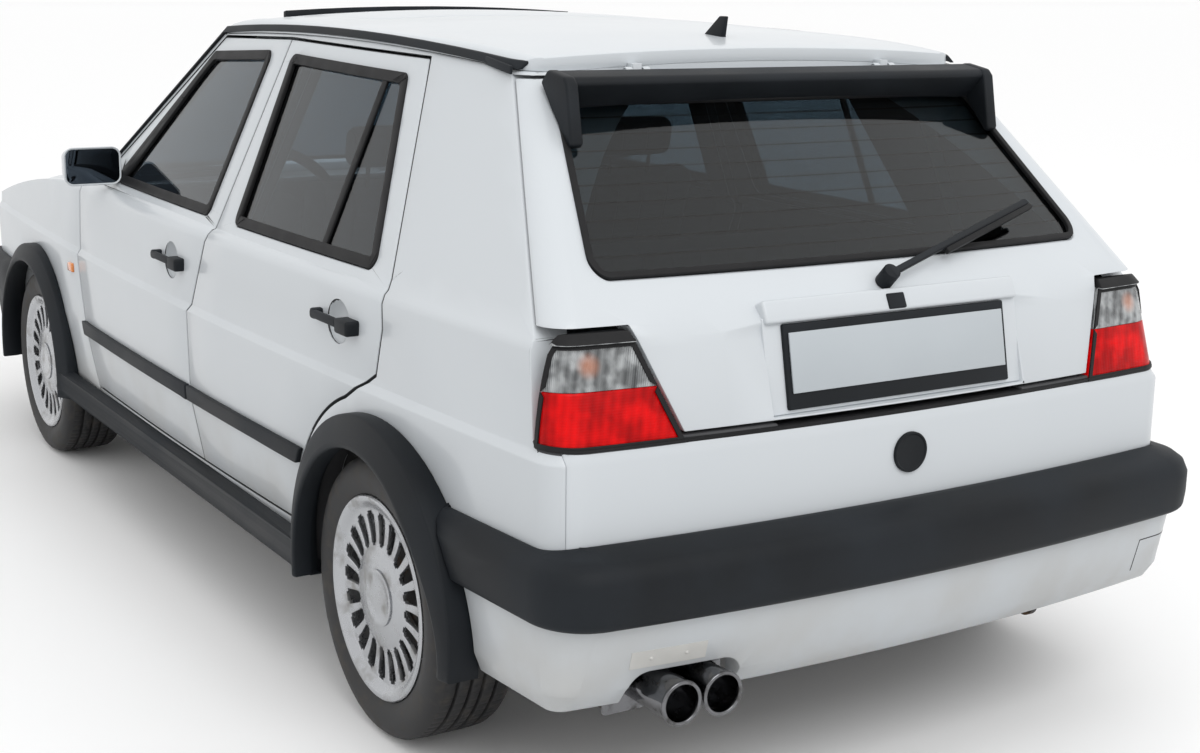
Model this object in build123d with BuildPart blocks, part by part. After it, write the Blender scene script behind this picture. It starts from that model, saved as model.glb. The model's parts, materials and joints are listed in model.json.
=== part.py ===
"""Compact five-door hatchback standing on its wheels: hollow body shell, four doors,
tailgate, bonnet, steered front wheels and turning rear wheels. Sizes in millimetres,
+X forward, +Y left, +Z up, origin on the ground under the middle of the car."""
import os
from math import cos, radians, sin

from build123d import *

os.makedirs("parts", exist_ok=True)

# Wheels and axles
WHEELBASE = 2475
FRONT_AXLE_X = 1205
REAR_AXLE_X = FRONT_AXLE_X - WHEELBASE
HALF_TRACK = 711
TYRE_R = 288
TYRE_W = 190
RIM_LIP_R = 209
RIM_FACE_OUT = 90
SPOKE_COUNT = 20

# Body shell
WALL_T = 58
SIDE_T = 60
PILLAR_T = 40
FRAME_T = 38
FRAME_GAP = 6
SEAM = 6
FIT = 0.4
BELT_Z = 912
GUTTER_Z = 1345
SWAGE_Z = 700
SILL_Z = 335
SKIRT_BOTTOM_Z = 250
ARCH_R = 345
OUT = 2500

# Lower body in plan, one row per height
BODY_COLUMNS = ("z", "half_width", "front_x", "rear_x")
BODY_LEVELS = [
    (SKIRT_BOTTOM_Z, 800, 1900, -1905),
    (500, 821, 1935, -1926),
    (SWAGE_Z, 824, 1938, -1922),
    (SWAGE_Z + 16, 813, 1936, -1917),
    (880, 806, 1925, -1868),
    (897, 799, 1922, -1863),
    (907, 789, 1920, -1860),
    (BELT_Z, 775, 1918, -1858),
]
BODY_FRONT_BOW = 60
BODY_REAR_BOW = 42
BODY_FRONT_TAPER = 70
BODY_REAR_TAPER = 75
BODY_FRONT_CORNER_R = 115
BODY_REAR_CORNER_R = 72

# Greenhouse in plan at the belt and at the gutter
GREEN_COLUMNS = ("z", "half_width", "front_x", "rear_x", "front_bow", "rear_bow", "front_taper", "rear_taper")
GREEN_LEVELS = [
    (BELT_Z, 774, 790, -1862, 125, 45, 16, 59),
    (GUTTER_Z, 590, 165, -1417, 100, 22, 4, 50),
]
GREEN_LOW_Z = 896
GREEN_HIGH_Z = 1400
GREEN_FRONT_CORNER_R = 42
GREEN_REAR_CORNER_R = 55
GLASS_DEPTH = 7
GLASS_T = 5

# Roof, one row per station along the car
ROOF_COLUMNS = ("x", "half_width", "edge_z", "crown_z")
ROOF_STATIONS = [
    (185, 574, 1334, 1362),
    (70, 582, 1341, 1391),
    (-420, 594, 1358, 1408),
    (-1000, 572, 1349, 1395),
    (-1425, 540, 1322, 1368),
]
ROOF_T = 26
GUTTER_LINE = ((185, 1336), (-450, 1361), (-1425, 1325))

# Door seams in side view (x, z)
DOOR_TOP_Z = 1350
FRONT_DOOR_SEAM = [
    (712, 905), (640, 916), (46, 1338), (-395, DOOR_TOP_Z), (-352, 915),
    (-345, 885), (-252, SWAGE_Z), (-252, 480), (-300, SILL_Z), (590, SILL_Z),
]
FRONT_DOOR_EDGE = ((590, SILL_Z), (668, 545), (712, 740))
REAR_DOOR_ARCH_R = 408
REAR_DOOR_TAIL = [(-1072, 1338), (-1246, 925), (-1258, 830), (-1240, 735)]
FRONT_WINDOW = [(512, 928), (80, 1298), (-312, 1318), (-282, 928)]
REAR_WINDOW = [(-450, 928), (-432, 1316), (-1012, 1302), (-1178, 928)]
WINDOW_CORNER_R = 24
FRAME_FLANGE = 42

# Tailgate, tail lamps and rear panel
HATCH_LINE = [(-1384, 1318), (-1772, 900), (-1800, 735)]
HATCH_TOP_Z = 1318
HATCH_BOTTOM_Z = 729
HATCH_BOTTOM_Y = 486
LAMP_TOP_Z = 914
LAMP_SPLIT_Z = 818
LAMP_INNER_TOP_Y = 574
LAMP_SIDE_X = -1806
REAR_GLASS_TOP = (512, 1276)
REAR_GLASS_LOW = (602, 986)
PLATE_W = 520
PLATE_H = 110
PLATE_Z = 826
RECESS_HALF_W = 306
RECESS_TOP_Z = 920
RECESS_FLOOR_X = -1848

# Trim
MOULDING_T = 13
MOULDING_Z = (479, 517)
FLARE_OUT_Y = 846
FLARE_OUTER_R = 374
FLARE_INNER_FRONT_R = 321
FLARE_INNER_REAR_R = 308


def named(columns, row):
    return dict(zip(columns, row))


def plan_section(z, half_width, front_x, rear_x, front_bow, rear_bow, front_taper, rear_taper,
                 front_r, rear_r, inset):
    """One closed outline of the body in plan, bowed on all four sides and rounded at the corners."""
    side_y = half_width - inset
    front = (front_x - front_bow - inset, side_y - front_taper)
    rear = (rear_x + rear_bow + inset, side_y - rear_taper)
    mid_x = (front[0] + rear[0]) / 2
    with BuildSketch(Plane.XY.offset(z)) as outline:
        with BuildLine():
            ThreePointArc(rear, (mid_x, side_y), front)
            ThreePointArc(front, (front_x - inset, 0), (front[0], -front[1]))
            ThreePointArc((front[0], -front[1]), (mid_x, -side_y), (rear[0], -rear[1]))
            ThreePointArc((rear[0], -rear[1]), (rear_x + inset, 0), rear)
        make_face()
        corners = outline.vertices().sort_by(Axis.X)
        fillet(corners[:2], max(rear_r - inset, 4))
        fillet(corners[2:], max(front_r - inset, 4))
    return outline.sketch


def lower_body(inset):
    sections = []
    for row in BODY_LEVELS:
        level = named(BODY_COLUMNS, row)
        sections.append(plan_section(level["z"], level["half_width"], level["front_x"], level["rear_x"],
                                     BODY_FRONT_BOW, BODY_REAR_BOW, BODY_FRONT_TAPER, BODY_REAR_TAPER,
                                     BODY_FRONT_CORNER_R, BODY_REAR_CORNER_R, inset))
    with BuildPart() as body:
        loft(sections, ruled=True)
    return body.part


def green_row(z):
    """The greenhouse outline at any height, on the straight line from belt to gutter."""
    low = named(GREEN_COLUMNS, GREEN_LEVELS[0])
    high = named(GREEN_COLUMNS, GREEN_LEVELS[1])
    share = (z - low["z"]) / (high["z"] - low["z"])
    return {key: low[key] + share * (high[key] - low[key]) for key in GREEN_COLUMNS}


def greenhouse(inset):
    sections = []
    for z in (GREEN_LOW_Z, GREEN_HIGH_Z):
        sections.append(plan_section(**green_row(z), front_r=GREEN_FRONT_CORNER_R, rear_r=GREEN_REAR_CORNER_R,
                                     inset=inset))
    with BuildPart() as cab:
        loft(sections, ruled=True)
    return cab.part


def below_gutter(lift=0, mode=Mode.INTERSECT):
    """Keeps or cuts what lies under the gutter line in side view."""
    line = [(x, z + lift) for x, z in GUTTER_LINE]
    with BuildSketch(Plane.XZ) as area:
        with BuildLine():
            ThreePointArc(*line)
            Polyline(line[2], (-OUT, line[2][1]), (-OUT, 0), (OUT, 0), (OUT, line[0][1]), line[0])
        make_face()
    extrude(area.sketch, amount=OUT, both=True, mode=mode)


def half_space(y0, y1, mode):
    with BuildSketch(Plane.XZ.offset(-y0)) as area:
        Rectangle(2 * OUT, 2 * OUT)
    extrude(area.sketch, amount=-(y1 - y0), mode=mode)


def front_door_outline():
    with BuildLine() as seam:
        Polyline(*FRONT_DOOR_SEAM[1:])
        ThreePointArc(*FRONT_DOOR_EDGE)
        Polyline(FRONT_DOOR_EDGE[2], FRONT_DOOR_SEAM[0], FRONT_DOOR_SEAM[1])
    make_face(seam.edges())


def rear_door_outline():
    low_x = REAR_AXLE_X + (REAR_DOOR_ARCH_R ** 2 - (SILL_Z - TYRE_R) ** 2) ** 0.5
    low = (low_x, SILL_Z)
    mid = (REAR_AXLE_X + REAR_DOOR_ARCH_R * cos(radians(38)), TYRE_R + REAR_DOOR_ARCH_R * sin(radians(38)))
    high = (REAR_AXLE_X + REAR_DOOR_ARCH_R * cos(radians(70)), TYRE_R + REAR_DOOR_ARCH_R * sin(radians(70)))
    with BuildLine() as seam:
        Polyline(low, *FRONT_DOOR_SEAM[8:2:-1])
        Polyline(FRONT_DOOR_SEAM[3], *REAR_DOOR_TAIL, high)
        ThreePointArc(high, mid, low)
    make_face(seam.edges())


def window_outline(points, grow):
    with BuildSketch(Plane.XZ) as window:
        with BuildLine():
            Polyline(*points, close=True)
        make_face()
        fillet(window.vertices(), WINDOW_CORNER_R)
        if grow:
            offset(amount=grow, mode=Mode.REPLACE)
    return window.sketch


def seam_prism(outline, grow, mode):
    """Cuts or keeps the left side of the body inside a seam outline drawn in side view."""
    with BuildSketch(Plane.XZ) as area:
        outline()
        offset(amount=grow, mode=Mode.REPLACE)
    extrude(area.sketch, amount=-OUT, mode=mode)


def save(part, name):
    part.label = name
    export_step(part, f"parts/{name}.step")


def save_pair(part, name):
    """Writes a left piece and its mirror image as one piece with two solids."""
    with BuildPart() as pair:
        add(part)
        mirror(part, about=Plane.XZ)
    save(pair.part, name)


def save_left_right(part, name):
    save(part, f"{name}_left")
    with BuildPart() as other:
        mirror(part, about=Plane.XZ)
    save(other.part, f"{name}_right")


# Shared walls: outer body layer, inner frame layer, glass layer, moulding layer
body_solid = lower_body(0)
green_solid = greenhouse(0)

with BuildPart() as lower_ring:
    add(body_solid)
    add(lower_body(WALL_T), mode=Mode.SUBTRACT)
    add(greenhouse(WALL_T), mode=Mode.SUBTRACT)

with BuildPart() as green_ring:
    add(green_solid)
    add(greenhouse(PILLAR_T), mode=Mode.SUBTRACT)
    below_gutter()

with BuildPart() as outer_wall:
    add(lower_ring.part)
    add(green_ring.part)

with BuildPart() as left_wall:
    add(outer_wall.part)
    half_space(300, OUT, Mode.INTERSECT)

with BuildPart() as side_wall:
    add(body_solid)
    add(green_solid)
    add(lower_body(SIDE_T), mode=Mode.SUBTRACT)
    add(greenhouse(SIDE_T), mode=Mode.SUBTRACT)
    below_gutter()
    half_space(300, OUT, Mode.INTERSECT)

with BuildPart() as inner_wall:
    add(lower_body(WALL_T + FIT))
    add(greenhouse(WALL_T + FIT))
    add(lower_body(WALL_T + FRAME_T), mode=Mode.SUBTRACT)
    add(greenhouse(WALL_T + FRAME_T), mode=Mode.SUBTRACT)
    below_gutter()
    half_space(300, OUT, Mode.INTERSECT)

# Space that the closed doors fill, down to the rebate they close against
with BuildPart() as door_rebate:
    seam_prism(front_door_outline, SEAM / 2, Mode.ADD)
    seam_prism(rear_door_outline, SEAM / 2, Mode.ADD)
    with BuildPart(mode=Mode.PRIVATE) as rebate_core:
        add(lower_body(WALL_T + FRAME_GAP))
        with Locations((0, 0, GREEN_LOW_Z - FRAME_GAP)):
            Box(2 * OUT, 2 * OUT, OUT, align=(Align.CENTER, Align.CENTER, Align.MIN), mode=Mode.SUBTRACT)
        add(greenhouse(WALL_T + FRAME_GAP))
    add(rebate_core.part, mode=Mode.SUBTRACT)

with BuildPart() as glass_wall:
    add(greenhouse(GLASS_DEPTH))
    add(greenhouse(GLASS_DEPTH + GLASS_T), mode=Mode.SUBTRACT)

with BuildPart() as moulding_wall:
    add(lower_body(-MOULDING_T))
    add(lower_body(-FIT), mode=Mode.SUBTRACT)
    with BuildSketch(Plane.XZ):
        with Locations((0, sum(MOULDING_Z) / 2)):
            Rectangle(2 * OUT, MOULDING_Z[1] - MOULDING_Z[0])
    extrude(amount=-OUT, mode=Mode.INTERSECT)
    half_space(300, OUT, Mode.INTERSECT)


def screen_opening(half_low, half_high, z_low, z_high, x_from, x_to, grow, mode):
    """Trapezoid seen from the front or rear, used for the two screens."""
    with BuildSketch(Plane.YZ.offset(x_from)) as frame:
        with BuildLine():
            Polyline((-half_low, z_low), (half_low, z_low), (half_high, z_high), (-half_high, z_high), close=True)
        make_face()
        fillet(frame.vertices(), 30)
        if grow:
            offset(amount=grow, mode=Mode.REPLACE)
    extrude(frame.sketch, amount=x_to - x_from, mode=mode)


WINDSCREEN_LOW = (704, 936)
WINDSCREEN_HIGH = (552, 1330)


def windscreen_cut(grow, mode):
    screen_opening(WINDSCREEN_LOW[0], WINDSCREEN_HIGH[0], WINDSCREEN_LOW[1], WINDSCREEN_HIGH[1], 20, 1000, grow, mode)


def rear_glass_cut(grow, mode):
    screen_opening(REAR_GLASS_LOW[0], REAR_GLASS_TOP[0], REAR_GLASS_LOW[1], REAR_GLASS_TOP[1], -2000, -1300, grow, mode)


def lamp_outline(grow):
    """Left tail lamp seen from behind."""
    low_y = HATCH_BOTTOM_Y + 8
    with BuildSketch(Plane.YZ.offset(-OUT)) as lens:
        with BuildLine():
            Polyline((low_y, HATCH_BOTTOM_Z - 8), (LAMP_INNER_TOP_Y, LAMP_TOP_Z), (OUT, LAMP_TOP_Z),
                     (OUT, HATCH_BOTTOM_Z - 8), close=True)
        make_face()
        if grow:
            offset(amount=grow, kind=Kind.INTERSECTION, mode=Mode.REPLACE)
    return lens.sketch


def lamp_space(grow, mode):
    extrude(lamp_outline(grow), amount=OUT + LAMP_SIDE_X + grow, mode=mode)


def hatch_side(grow, mode):
    """What lies behind the tailgate's side seam and above its bottom edge."""
    with BuildSketch(Plane.XZ) as area:
        with BuildLine():
            Polyline(*HATCH_LINE, (-OUT, HATCH_BOTTOM_Z), (-OUT, HATCH_TOP_Z), close=True)
        make_face()
        offset(amount=grow, kind=Kind.INTERSECTION, mode=Mode.REPLACE)
    extrude(area.sketch, amount=OUT, both=True, mode=mode)


HINGE_POCKET_Y = 360
REAR_PANEL_HALF_W = 721
REAR_PANEL_X = -1790


def rear_panel_space(grow, mode):
    """Space of the panel between the quarter panels, under the tailgate."""
    with Locations((REAR_PANEL_X - 200 + grow, 0, (HATCH_BOTTOM_Z - 9) / 2)):
        Box(400, 2 * (REAR_PANEL_HALF_W + grow), HATCH_BOTTOM_Z - 9, mode=mode)


# Body sides: quarter panel, sill and pillars of one side as one pressing
with BuildPart() as body_side:
    add(side_wall.part)
    with BuildSketch(Plane.XZ):
        with BuildLine():
            Polyline((706, BELT_Z - 3), (580, BELT_Z - 3), (580, SKIRT_BOTTOM_Z), (-OUT, SKIRT_BOTTOM_Z), (-OUT, OUT),
                     (706, OUT), close=True)
        make_face()
    extrude(amount=-OUT, mode=Mode.INTERSECT)
    seam_prism(front_door_outline, SEAM / 2, Mode.SUBTRACT)
    seam_prism(rear_door_outline, SEAM / 2, Mode.SUBTRACT)
    hatch_side(SEAM / 2, Mode.SUBTRACT)
    with Locations((HATCH_LINE[0][0] - SEAM / 2, 0, HATCH_TOP_Z)):
        Box(OUT, 2 * HINGE_POCKET_Y, OUT, align=(Align.MAX, Align.CENTER, Align.MIN), mode=Mode.SUBTRACT)
    lamp_space(0, Mode.SUBTRACT)
    windscreen_cut(0, Mode.SUBTRACT)
    rear_panel_space(FIT, Mode.SUBTRACT)
    with BuildSketch(Plane.XZ):
        with Locations((REAR_AXLE_X, TYRE_R)):
            Circle(ARCH_R)
    extrude(amount=-OUT, mode=Mode.SUBTRACT)

with BuildPart() as side_frame:
    add(inner_wall.part)
    with BuildSketch(Plane.XZ):
        with BuildLine():
            Polyline((698, SKIRT_BOTTOM_Z), (698, 890), (40, OUT), (-1330, OUT), (-1330, 700), (-870, 480),
                     (-870, SKIRT_BOTTOM_Z), close=True)
        make_face()
    extrude(amount=-OUT, mode=Mode.INTERSECT)
    add(door_rebate.part, mode=Mode.SUBTRACT)
    seam_prism(front_door_outline, -FRAME_FLANGE, Mode.SUBTRACT)
    seam_prism(rear_door_outline, -FRAME_FLANGE, Mode.SUBTRACT)
    with BuildSketch(Plane.XZ):
        with Locations((REAR_AXLE_X, TYRE_R)):
            Circle(ARCH_R + 18)
    extrude(amount=-OUT, mode=Mode.SUBTRACT)
    windscreen_cut(0, Mode.SUBTRACT)

with BuildPart() as body_side_left:
    add(body_side.part)
    add(side_frame.part)
save_pair(body_side_left.part, "body_sides")

# Doors with their glass, mouldings, handles and the two mirrors
DOOR_COLUMNS = ("name", "outline", "window", "handle_x", "handle_z", "skin_y")
DOORS = [
    ("door_front", front_door_outline, FRONT_WINDOW, -112, 806, 808),
    ("door_rear", rear_door_outline, REAR_WINDOW, -1082, 812, 782),
]
HANDLE_L = 176
HANDLE_H = 32
HANDLE_OUT = 36
HANDLE_SEAT = 9
SCUTTLE_HALF_W = 728
CUP_R = 66
CUP_DEPTH = 15
MIRROR_SIZE = (62, 148, 102)
MIRROR_AT = (486, 834, 978)

for row in DOORS:
    door = named(DOOR_COLUMNS, row)
    cup_y = door["skin_y"] - 6 + (CUP_R ** 2 - CUP_DEPTH ** 2) ** 0.5
    with BuildPart() as panel:
        add(left_wall.part)
        seam_prism(door["outline"], -SEAM / 2, Mode.INTERSECT)
        extrude(window_outline(door["window"], 0), amount=-OUT, mode=Mode.SUBTRACT)
        with Locations((FRONT_DOOR_SEAM[1][0], 0, GREEN_LOW_Z)):
            Box(OUT, 2 * SCUTTLE_HALF_W, 2 * FRAME_FLANGE, mode=Mode.SUBTRACT)
        with Locations((door["handle_x"] + 12, cup_y, door["handle_z"] - 4)):
            Sphere(CUP_R, mode=Mode.SUBTRACT)
    save_left_right(panel.part, door["name"])

    with BuildPart() as pane:
        add(glass_wall.part)
        half_space(300, OUT, Mode.INTERSECT)
        extrude(window_outline(door["window"], -FIT), amount=-OUT, mode=Mode.INTERSECT)
    save_left_right(pane.part, door["name"] + "_glass")

    with BuildPart() as trim:
        add(moulding_wall.part)
        seam_prism(door["outline"], -SEAM / 2 - 1, Mode.INTERSECT)
        with BuildSketch(Plane.XZ.offset(-(door["skin_y"] - HANDLE_SEAT))):
            with Locations((door["handle_x"], door["handle_z"])):
                RectangleRounded(HANDLE_L, HANDLE_H, 10)
        extrude(amount=-HANDLE_OUT - HANDLE_SEAT)
        if door["name"] == "door_front":
            with Locations(MIRROR_AT):
                Box(*MIRROR_SIZE)
        add(panel.part, mode=Mode.SUBTRACT)
    save_left_right(trim.part, door["name"] + "_trim")

# Front fenders
FENDER_IN_Y = 678
FENDER_TOP = [(712, 905), (1300, 850), (1930, 735)]
with BuildPart() as fender:
    add(lower_ring.part)
    with BuildSketch(Plane.XZ):
        with BuildLine():
            ThreePointArc(*FENDER_TOP)
            Polyline(FENDER_TOP[2], (OUT, 735), (OUT, 300), (590 + SEAM, 300), (590 + SEAM, SILL_Z))
            ThreePointArc((590 + SEAM, SILL_Z), (668 + SEAM, 545), (712 + SEAM, 740))
            Polyline((712 + SEAM, 740), (712 + SEAM, 880), (712, 905))
        make_face()
    extrude(amount=-OUT, mode=Mode.INTERSECT)
    half_space(FENDER_IN_Y, OUT, Mode.INTERSECT)
    with BuildSketch(Plane.XZ):
        with Locations((FRONT_AXLE_X, TYRE_R)):
            Circle(ARCH_R)
    extrude(amount=-OUT, mode=Mode.SUBTRACT)
save_pair(fender.part, "front_fenders")


def crowned_section(x, half_width, edge_z, crown_z, thickness):
    """Cross-section of a crowned panel: rounded edges, arched top and underside."""
    rise = crown_z - edge_z
    shoulder = (half_width - 46, edge_z + rise * 0.6)
    inner = (half_width - 60, edge_z + 1)
    with BuildSketch(Plane.YZ.offset(x)) as section:
        with BuildLine():
            ThreePointArc((half_width, edge_z), (half_width - 12, edge_z + rise * 0.42), shoulder)
            ThreePointArc(shoulder, (0, crown_z), (-shoulder[0], shoulder[1]))
            ThreePointArc((-shoulder[0], shoulder[1]), (12 - half_width, edge_z + rise * 0.42), (-half_width, edge_z))
            Line((-half_width, edge_z), (-inner[0], inner[1]))
            ThreePointArc((-inner[0], inner[1]), (0, crown_z - thickness), inner)
            Line(inner, (half_width, edge_z))
        make_face()
    return section.sketch


def plan_prism(row, inset, z0, z1, mode):
    outline = plan_section(z0, row["half_width"], row["front_x"], row["rear_x"], row["front_bow"], row["rear_bow"],
                           row["front_taper"], row["rear_taper"], GREEN_FRONT_CORNER_R, GREEN_REAR_CORNER_R, inset)
    extrude(outline, amount=z1 - z0, mode=mode)


def crowned_panel(columns, rows):
    sections = []
    for row in rows:
        station = named(columns, row)
        sections.append(crowned_section(station["x"], station["half_width"], station["edge_z"], station["crown_z"],
                                        ROOF_T))
    loft(sections)


# Roof with its sliding panel
SUNROOF_X = (-470, 20)
SUNROOF_HALF_W = 415
with BuildPart() as roof_shell:
    crowned_panel(ROOF_COLUMNS, ROOF_STATIONS)
    plan_prism(green_row(GUTTER_Z), -4, 1200, 1500, Mode.INTERSECT)
    below_gutter(FIT, Mode.SUBTRACT)


def sunroof_outline(grow):
    with BuildSketch(Plane.XY.offset(1200)) as outline:
        with Locations((sum(SUNROOF_X) / 2, 0)):
            RectangleRounded(SUNROOF_X[1] - SUNROOF_X[0] + 2 * grow, 2 * (SUNROOF_HALF_W + grow), 50)
    return outline.sketch


with BuildPart() as roof_panel:
    add(roof_shell.part)
    extrude(sunroof_outline(FIT), amount=400, mode=Mode.SUBTRACT)
save(roof_panel.part, "roof_panel")

with BuildPart() as sunroof_panel:
    add(roof_shell.part)
    extrude(sunroof_outline(0), amount=400, mode=Mode.INTERSECT)
save(sunroof_panel.part, "sunroof_panel")

# Windscreen
with BuildPart() as windscreen:
    add(glass_wall.part)
    windscreen_cut(-FIT, Mode.INTERSECT)
save(windscreen.part, "windscreen")

# Hinge pins, each between two knuckles of the moving panel
PIN_R = 5
KNUCKLE_R = 9
KNUCKLE_W = 16
BRACKET_W = 20
TAILGATE_HINGE = (-1434, 1327)
TAILGATE_HINGE_Y = 310
BONNET_HINGE = (740, 900)
BONNET_HINGE_Y = 616


def hinge_knuckles(pin_at, centre_y, web_x, web_z):
    """Two pairs of rings round the pins, each on a web from the panel."""
    step = (BRACKET_W + KNUCKLE_W) / 2 + 2
    places = [side * (centre_y + turn * step) for side in (1, -1) for turn in (1, -1)]
    for y in places:
        with Locations((sum(web_x) / 2, y, sum(web_z) / 2)):
            Box(web_x[1] - web_x[0], KNUCKLE_W, web_z[1] - web_z[0])
        with BuildSketch(Plane.XZ.offset(-y - KNUCKLE_W / 2)) as ring:
            with Locations(pin_at):
                Circle(KNUCKLE_R)
        extrude(ring.sketch, amount=KNUCKLE_W)
        with BuildSketch(Plane.XZ.offset(-y - KNUCKLE_W)) as bore:
            with Locations(pin_at):
                Circle(PIN_R + FIT)
        extrude(bore.sketch, amount=2 * KNUCKLE_W, mode=Mode.SUBTRACT)


def hinge_pins(pin_at, centre_y, bracket_x, bracket_z):
    for y in (centre_y, -centre_y):
        with Locations((sum(bracket_x) / 2, y, sum(bracket_z) / 2)):
            Box(bracket_x[1] - bracket_x[0], BRACKET_W, bracket_z[1] - bracket_z[0])
        with BuildSketch(Plane.XZ.offset(-y - BRACKET_W / 2 - KNUCKLE_W - 2)) as pin:
            with Locations(pin_at):
                Circle(PIN_R)
        extrude(pin.sketch, amount=BRACKET_W + 2 * KNUCKLE_W + 4)


# Tailgate with its glass, spoiler, wiper and plate
with BuildPart() as tailgate:
    add(outer_wall.part)
    hatch_side(-SEAM / 2, Mode.INTERSECT)
    extrude(lamp_outline(7), amount=OUT - 1500, mode=Mode.SUBTRACT)
    extrude(mirror(lamp_outline(7), about=Plane.XZ, mode=Mode.PRIVATE), amount=OUT - 1500, mode=Mode.SUBTRACT)
    rear_glass_cut(0, Mode.SUBTRACT)
    with Locations((-1900, 0, (HATCH_BOTTOM_Z + RECESS_TOP_Z) / 2)):
        Box(2 * (1900 + RECESS_FLOOR_X), 2 * RECESS_HALF_W, RECESS_TOP_Z - HATCH_BOTTOM_Z - 24, mode=Mode.SUBTRACT)
    hinge_knuckles(TAILGATE_HINGE, TAILGATE_HINGE_Y, (-1440, -1428), (HATCH_TOP_Z - SEAM, 1322))
save(tailgate.part, "tailgate")

with BuildPart() as rear_glass:
    add(glass_wall.part)
    rear_glass_cut(-FIT, Mode.INTERSECT)
save(rear_glass.part, "tailgate_glass")

SPOILER_PROFILE = [(-1440, 1311), (-1466, 1334), (-1524, 1324), (-1534, 1312), (-1484, 1262)]
SPOILER_HALF_W = 528
WIPER_PIVOT = (-1834, 0, 962)
WIPER_L = 470
WIPER_TILT = 18
GLASS_LEAN = 46
with BuildPart() as tailgate_trim:
    with BuildSketch(Plane.XZ.offset(-SPOILER_HALF_W)):
        with BuildLine():
            Polyline(*SPOILER_PROFILE, close=True)
        make_face()
    extrude(amount=2 * SPOILER_HALF_W)
    with BuildSketch(Plane.XZ.offset(-PLATE_W / 2 - 6)):
        with BuildLine():
            Polyline((RECESS_FLOOR_X, PLATE_Z - PLATE_H / 2 - 10), (-1897, PLATE_Z - PLATE_H / 2 - 10),
                     (-1870, PLATE_Z + PLATE_H / 2 + 10), (RECESS_FLOOR_X, PLATE_Z + PLATE_H / 2 + 10), close=True)
        make_face()
    extrude(amount=PLATE_W + 12)
    wiper_plane = Plane(WIPER_PIVOT, x_dir=(0, -1, 0), z_dir=(-cos(radians(GLASS_LEAN)), 0, sin(radians(GLASS_LEAN))))
    with BuildSketch(wiper_plane.offset(6)):
        with Locations(Location((0, 0), WIPER_TILT)):
            Rectangle(WIPER_L, 14, align=(Align.MIN, Align.CENTER))
    extrude(amount=9)
    with BuildSketch(wiper_plane.offset(-40)):
        Circle(17)
    extrude(amount=62)
    add(green_solid, mode=Mode.SUBTRACT)
    add(rear_glass.part, mode=Mode.SUBTRACT)
save(tailgate_trim.part, "tailgate_trim")

# Tail lamps
with BuildPart() as lamp:
    add(left_wall.part)
    lamp_space(-FIT, Mode.INTERSECT)
LAMP_BANDS = [("tail_lamps_red", 600, LAMP_SPLIT_Z - FIT / 2), ("tail_lamps_clear", LAMP_SPLIT_Z + FIT / 2, 1000)]
for name, low, high in LAMP_BANDS:
    with BuildPart() as lens:
        add(lamp.part)
        with Locations((-1900, 600, (low + high) / 2)):
            Box(800, 800, high - low, mode=Mode.INTERSECT)
    save_pair(lens.part, name)

# Rear panel between the quarter panels, under the tailgate
REAR_PANEL_LOW_Z = 350
with BuildPart() as rear_panel:
    add(lower_ring.part)
    rear_panel_space(0, Mode.INTERSECT)
    with Locations((REAR_PANEL_X, 0, REAR_PANEL_LOW_Z / 2)):
        Box(600, 2000, REAR_PANEL_LOW_Z, mode=Mode.SUBTRACT)
save(rear_panel.part, "rear_panel")


# Bumpers: wrapped bars, one row per height, pulled in at top and bottom
BUMPER_COLUMNS = ("z", "inset", "half_width")
BUMPER_LEVELS = [(428, 16, 862), (438, 3, 862), (470, 0, 862), (512, 0, 862), (534, 9, 862), (547, 26, 862), (560, 74, 862)]
VALANCE_LEVELS = [(262, 88, 905), (300, 62, 892), (428 - FIT, 30, 866)]
BUMPER_OUT_X = 2020
BUMPER_TAPER = 72
BUMPER_BOW = 52
BUMPER_CORNER_R = 120
BUMPER_END_X = 1540


def wrapped_bar(levels, front):
    sections = []
    for row in levels:
        level = named(BUMPER_COLUMNS, row)
        sections.append(plan_section(level["z"], level["half_width"], BUMPER_OUT_X, -BUMPER_OUT_X, BUMPER_BOW,
                                     BUMPER_BOW, BUMPER_TAPER, BUMPER_TAPER, BUMPER_CORNER_R, BUMPER_CORNER_R,
                                     level["inset"]))
    axle_x = FRONT_AXLE_X if front > 0 else REAR_AXLE_X
    with BuildPart() as bar:
        loft(sections, ruled=True)
        add(lower_body(-FIT), mode=Mode.SUBTRACT)
        with Locations((front * BUMPER_OUT_X, 0, 400)):
            Box(2 * (BUMPER_OUT_X - BUMPER_END_X), 3000, 800, mode=Mode.INTERSECT)
        with BuildSketch(Plane.XZ):
            with Locations((axle_x, TYRE_R)):
                Circle(FLARE_OUTER_R + 2)
        extrude(amount=OUT, both=True, mode=Mode.SUBTRACT)
    return bar.part


save(wrapped_bar(BUMPER_LEVELS, -1), "rear_bumper")
save(wrapped_bar(BUMPER_LEVELS, 1), "front_bumper")

TIP_Y = (550, 463)
TIP_Z = 281
TIP_R = 40
with BuildPart() as rear_valance:
    add(wrapped_bar(VALANCE_LEVELS, -1))
    with BuildSketch(Plane.YZ.offset(-OUT)):
        with Locations((sum(TIP_Y) / 2, 262)):
            RectangleRounded(TIP_Y[0] - TIP_Y[1] + 2 * TIP_R + 60, 130, 40)
    extrude(amount=OUT, mode=Mode.SUBTRACT)
save(rear_valance.part, "rear_valance")
save(wrapped_bar(VALANCE_LEVELS, 1), "front_spoiler")

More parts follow.
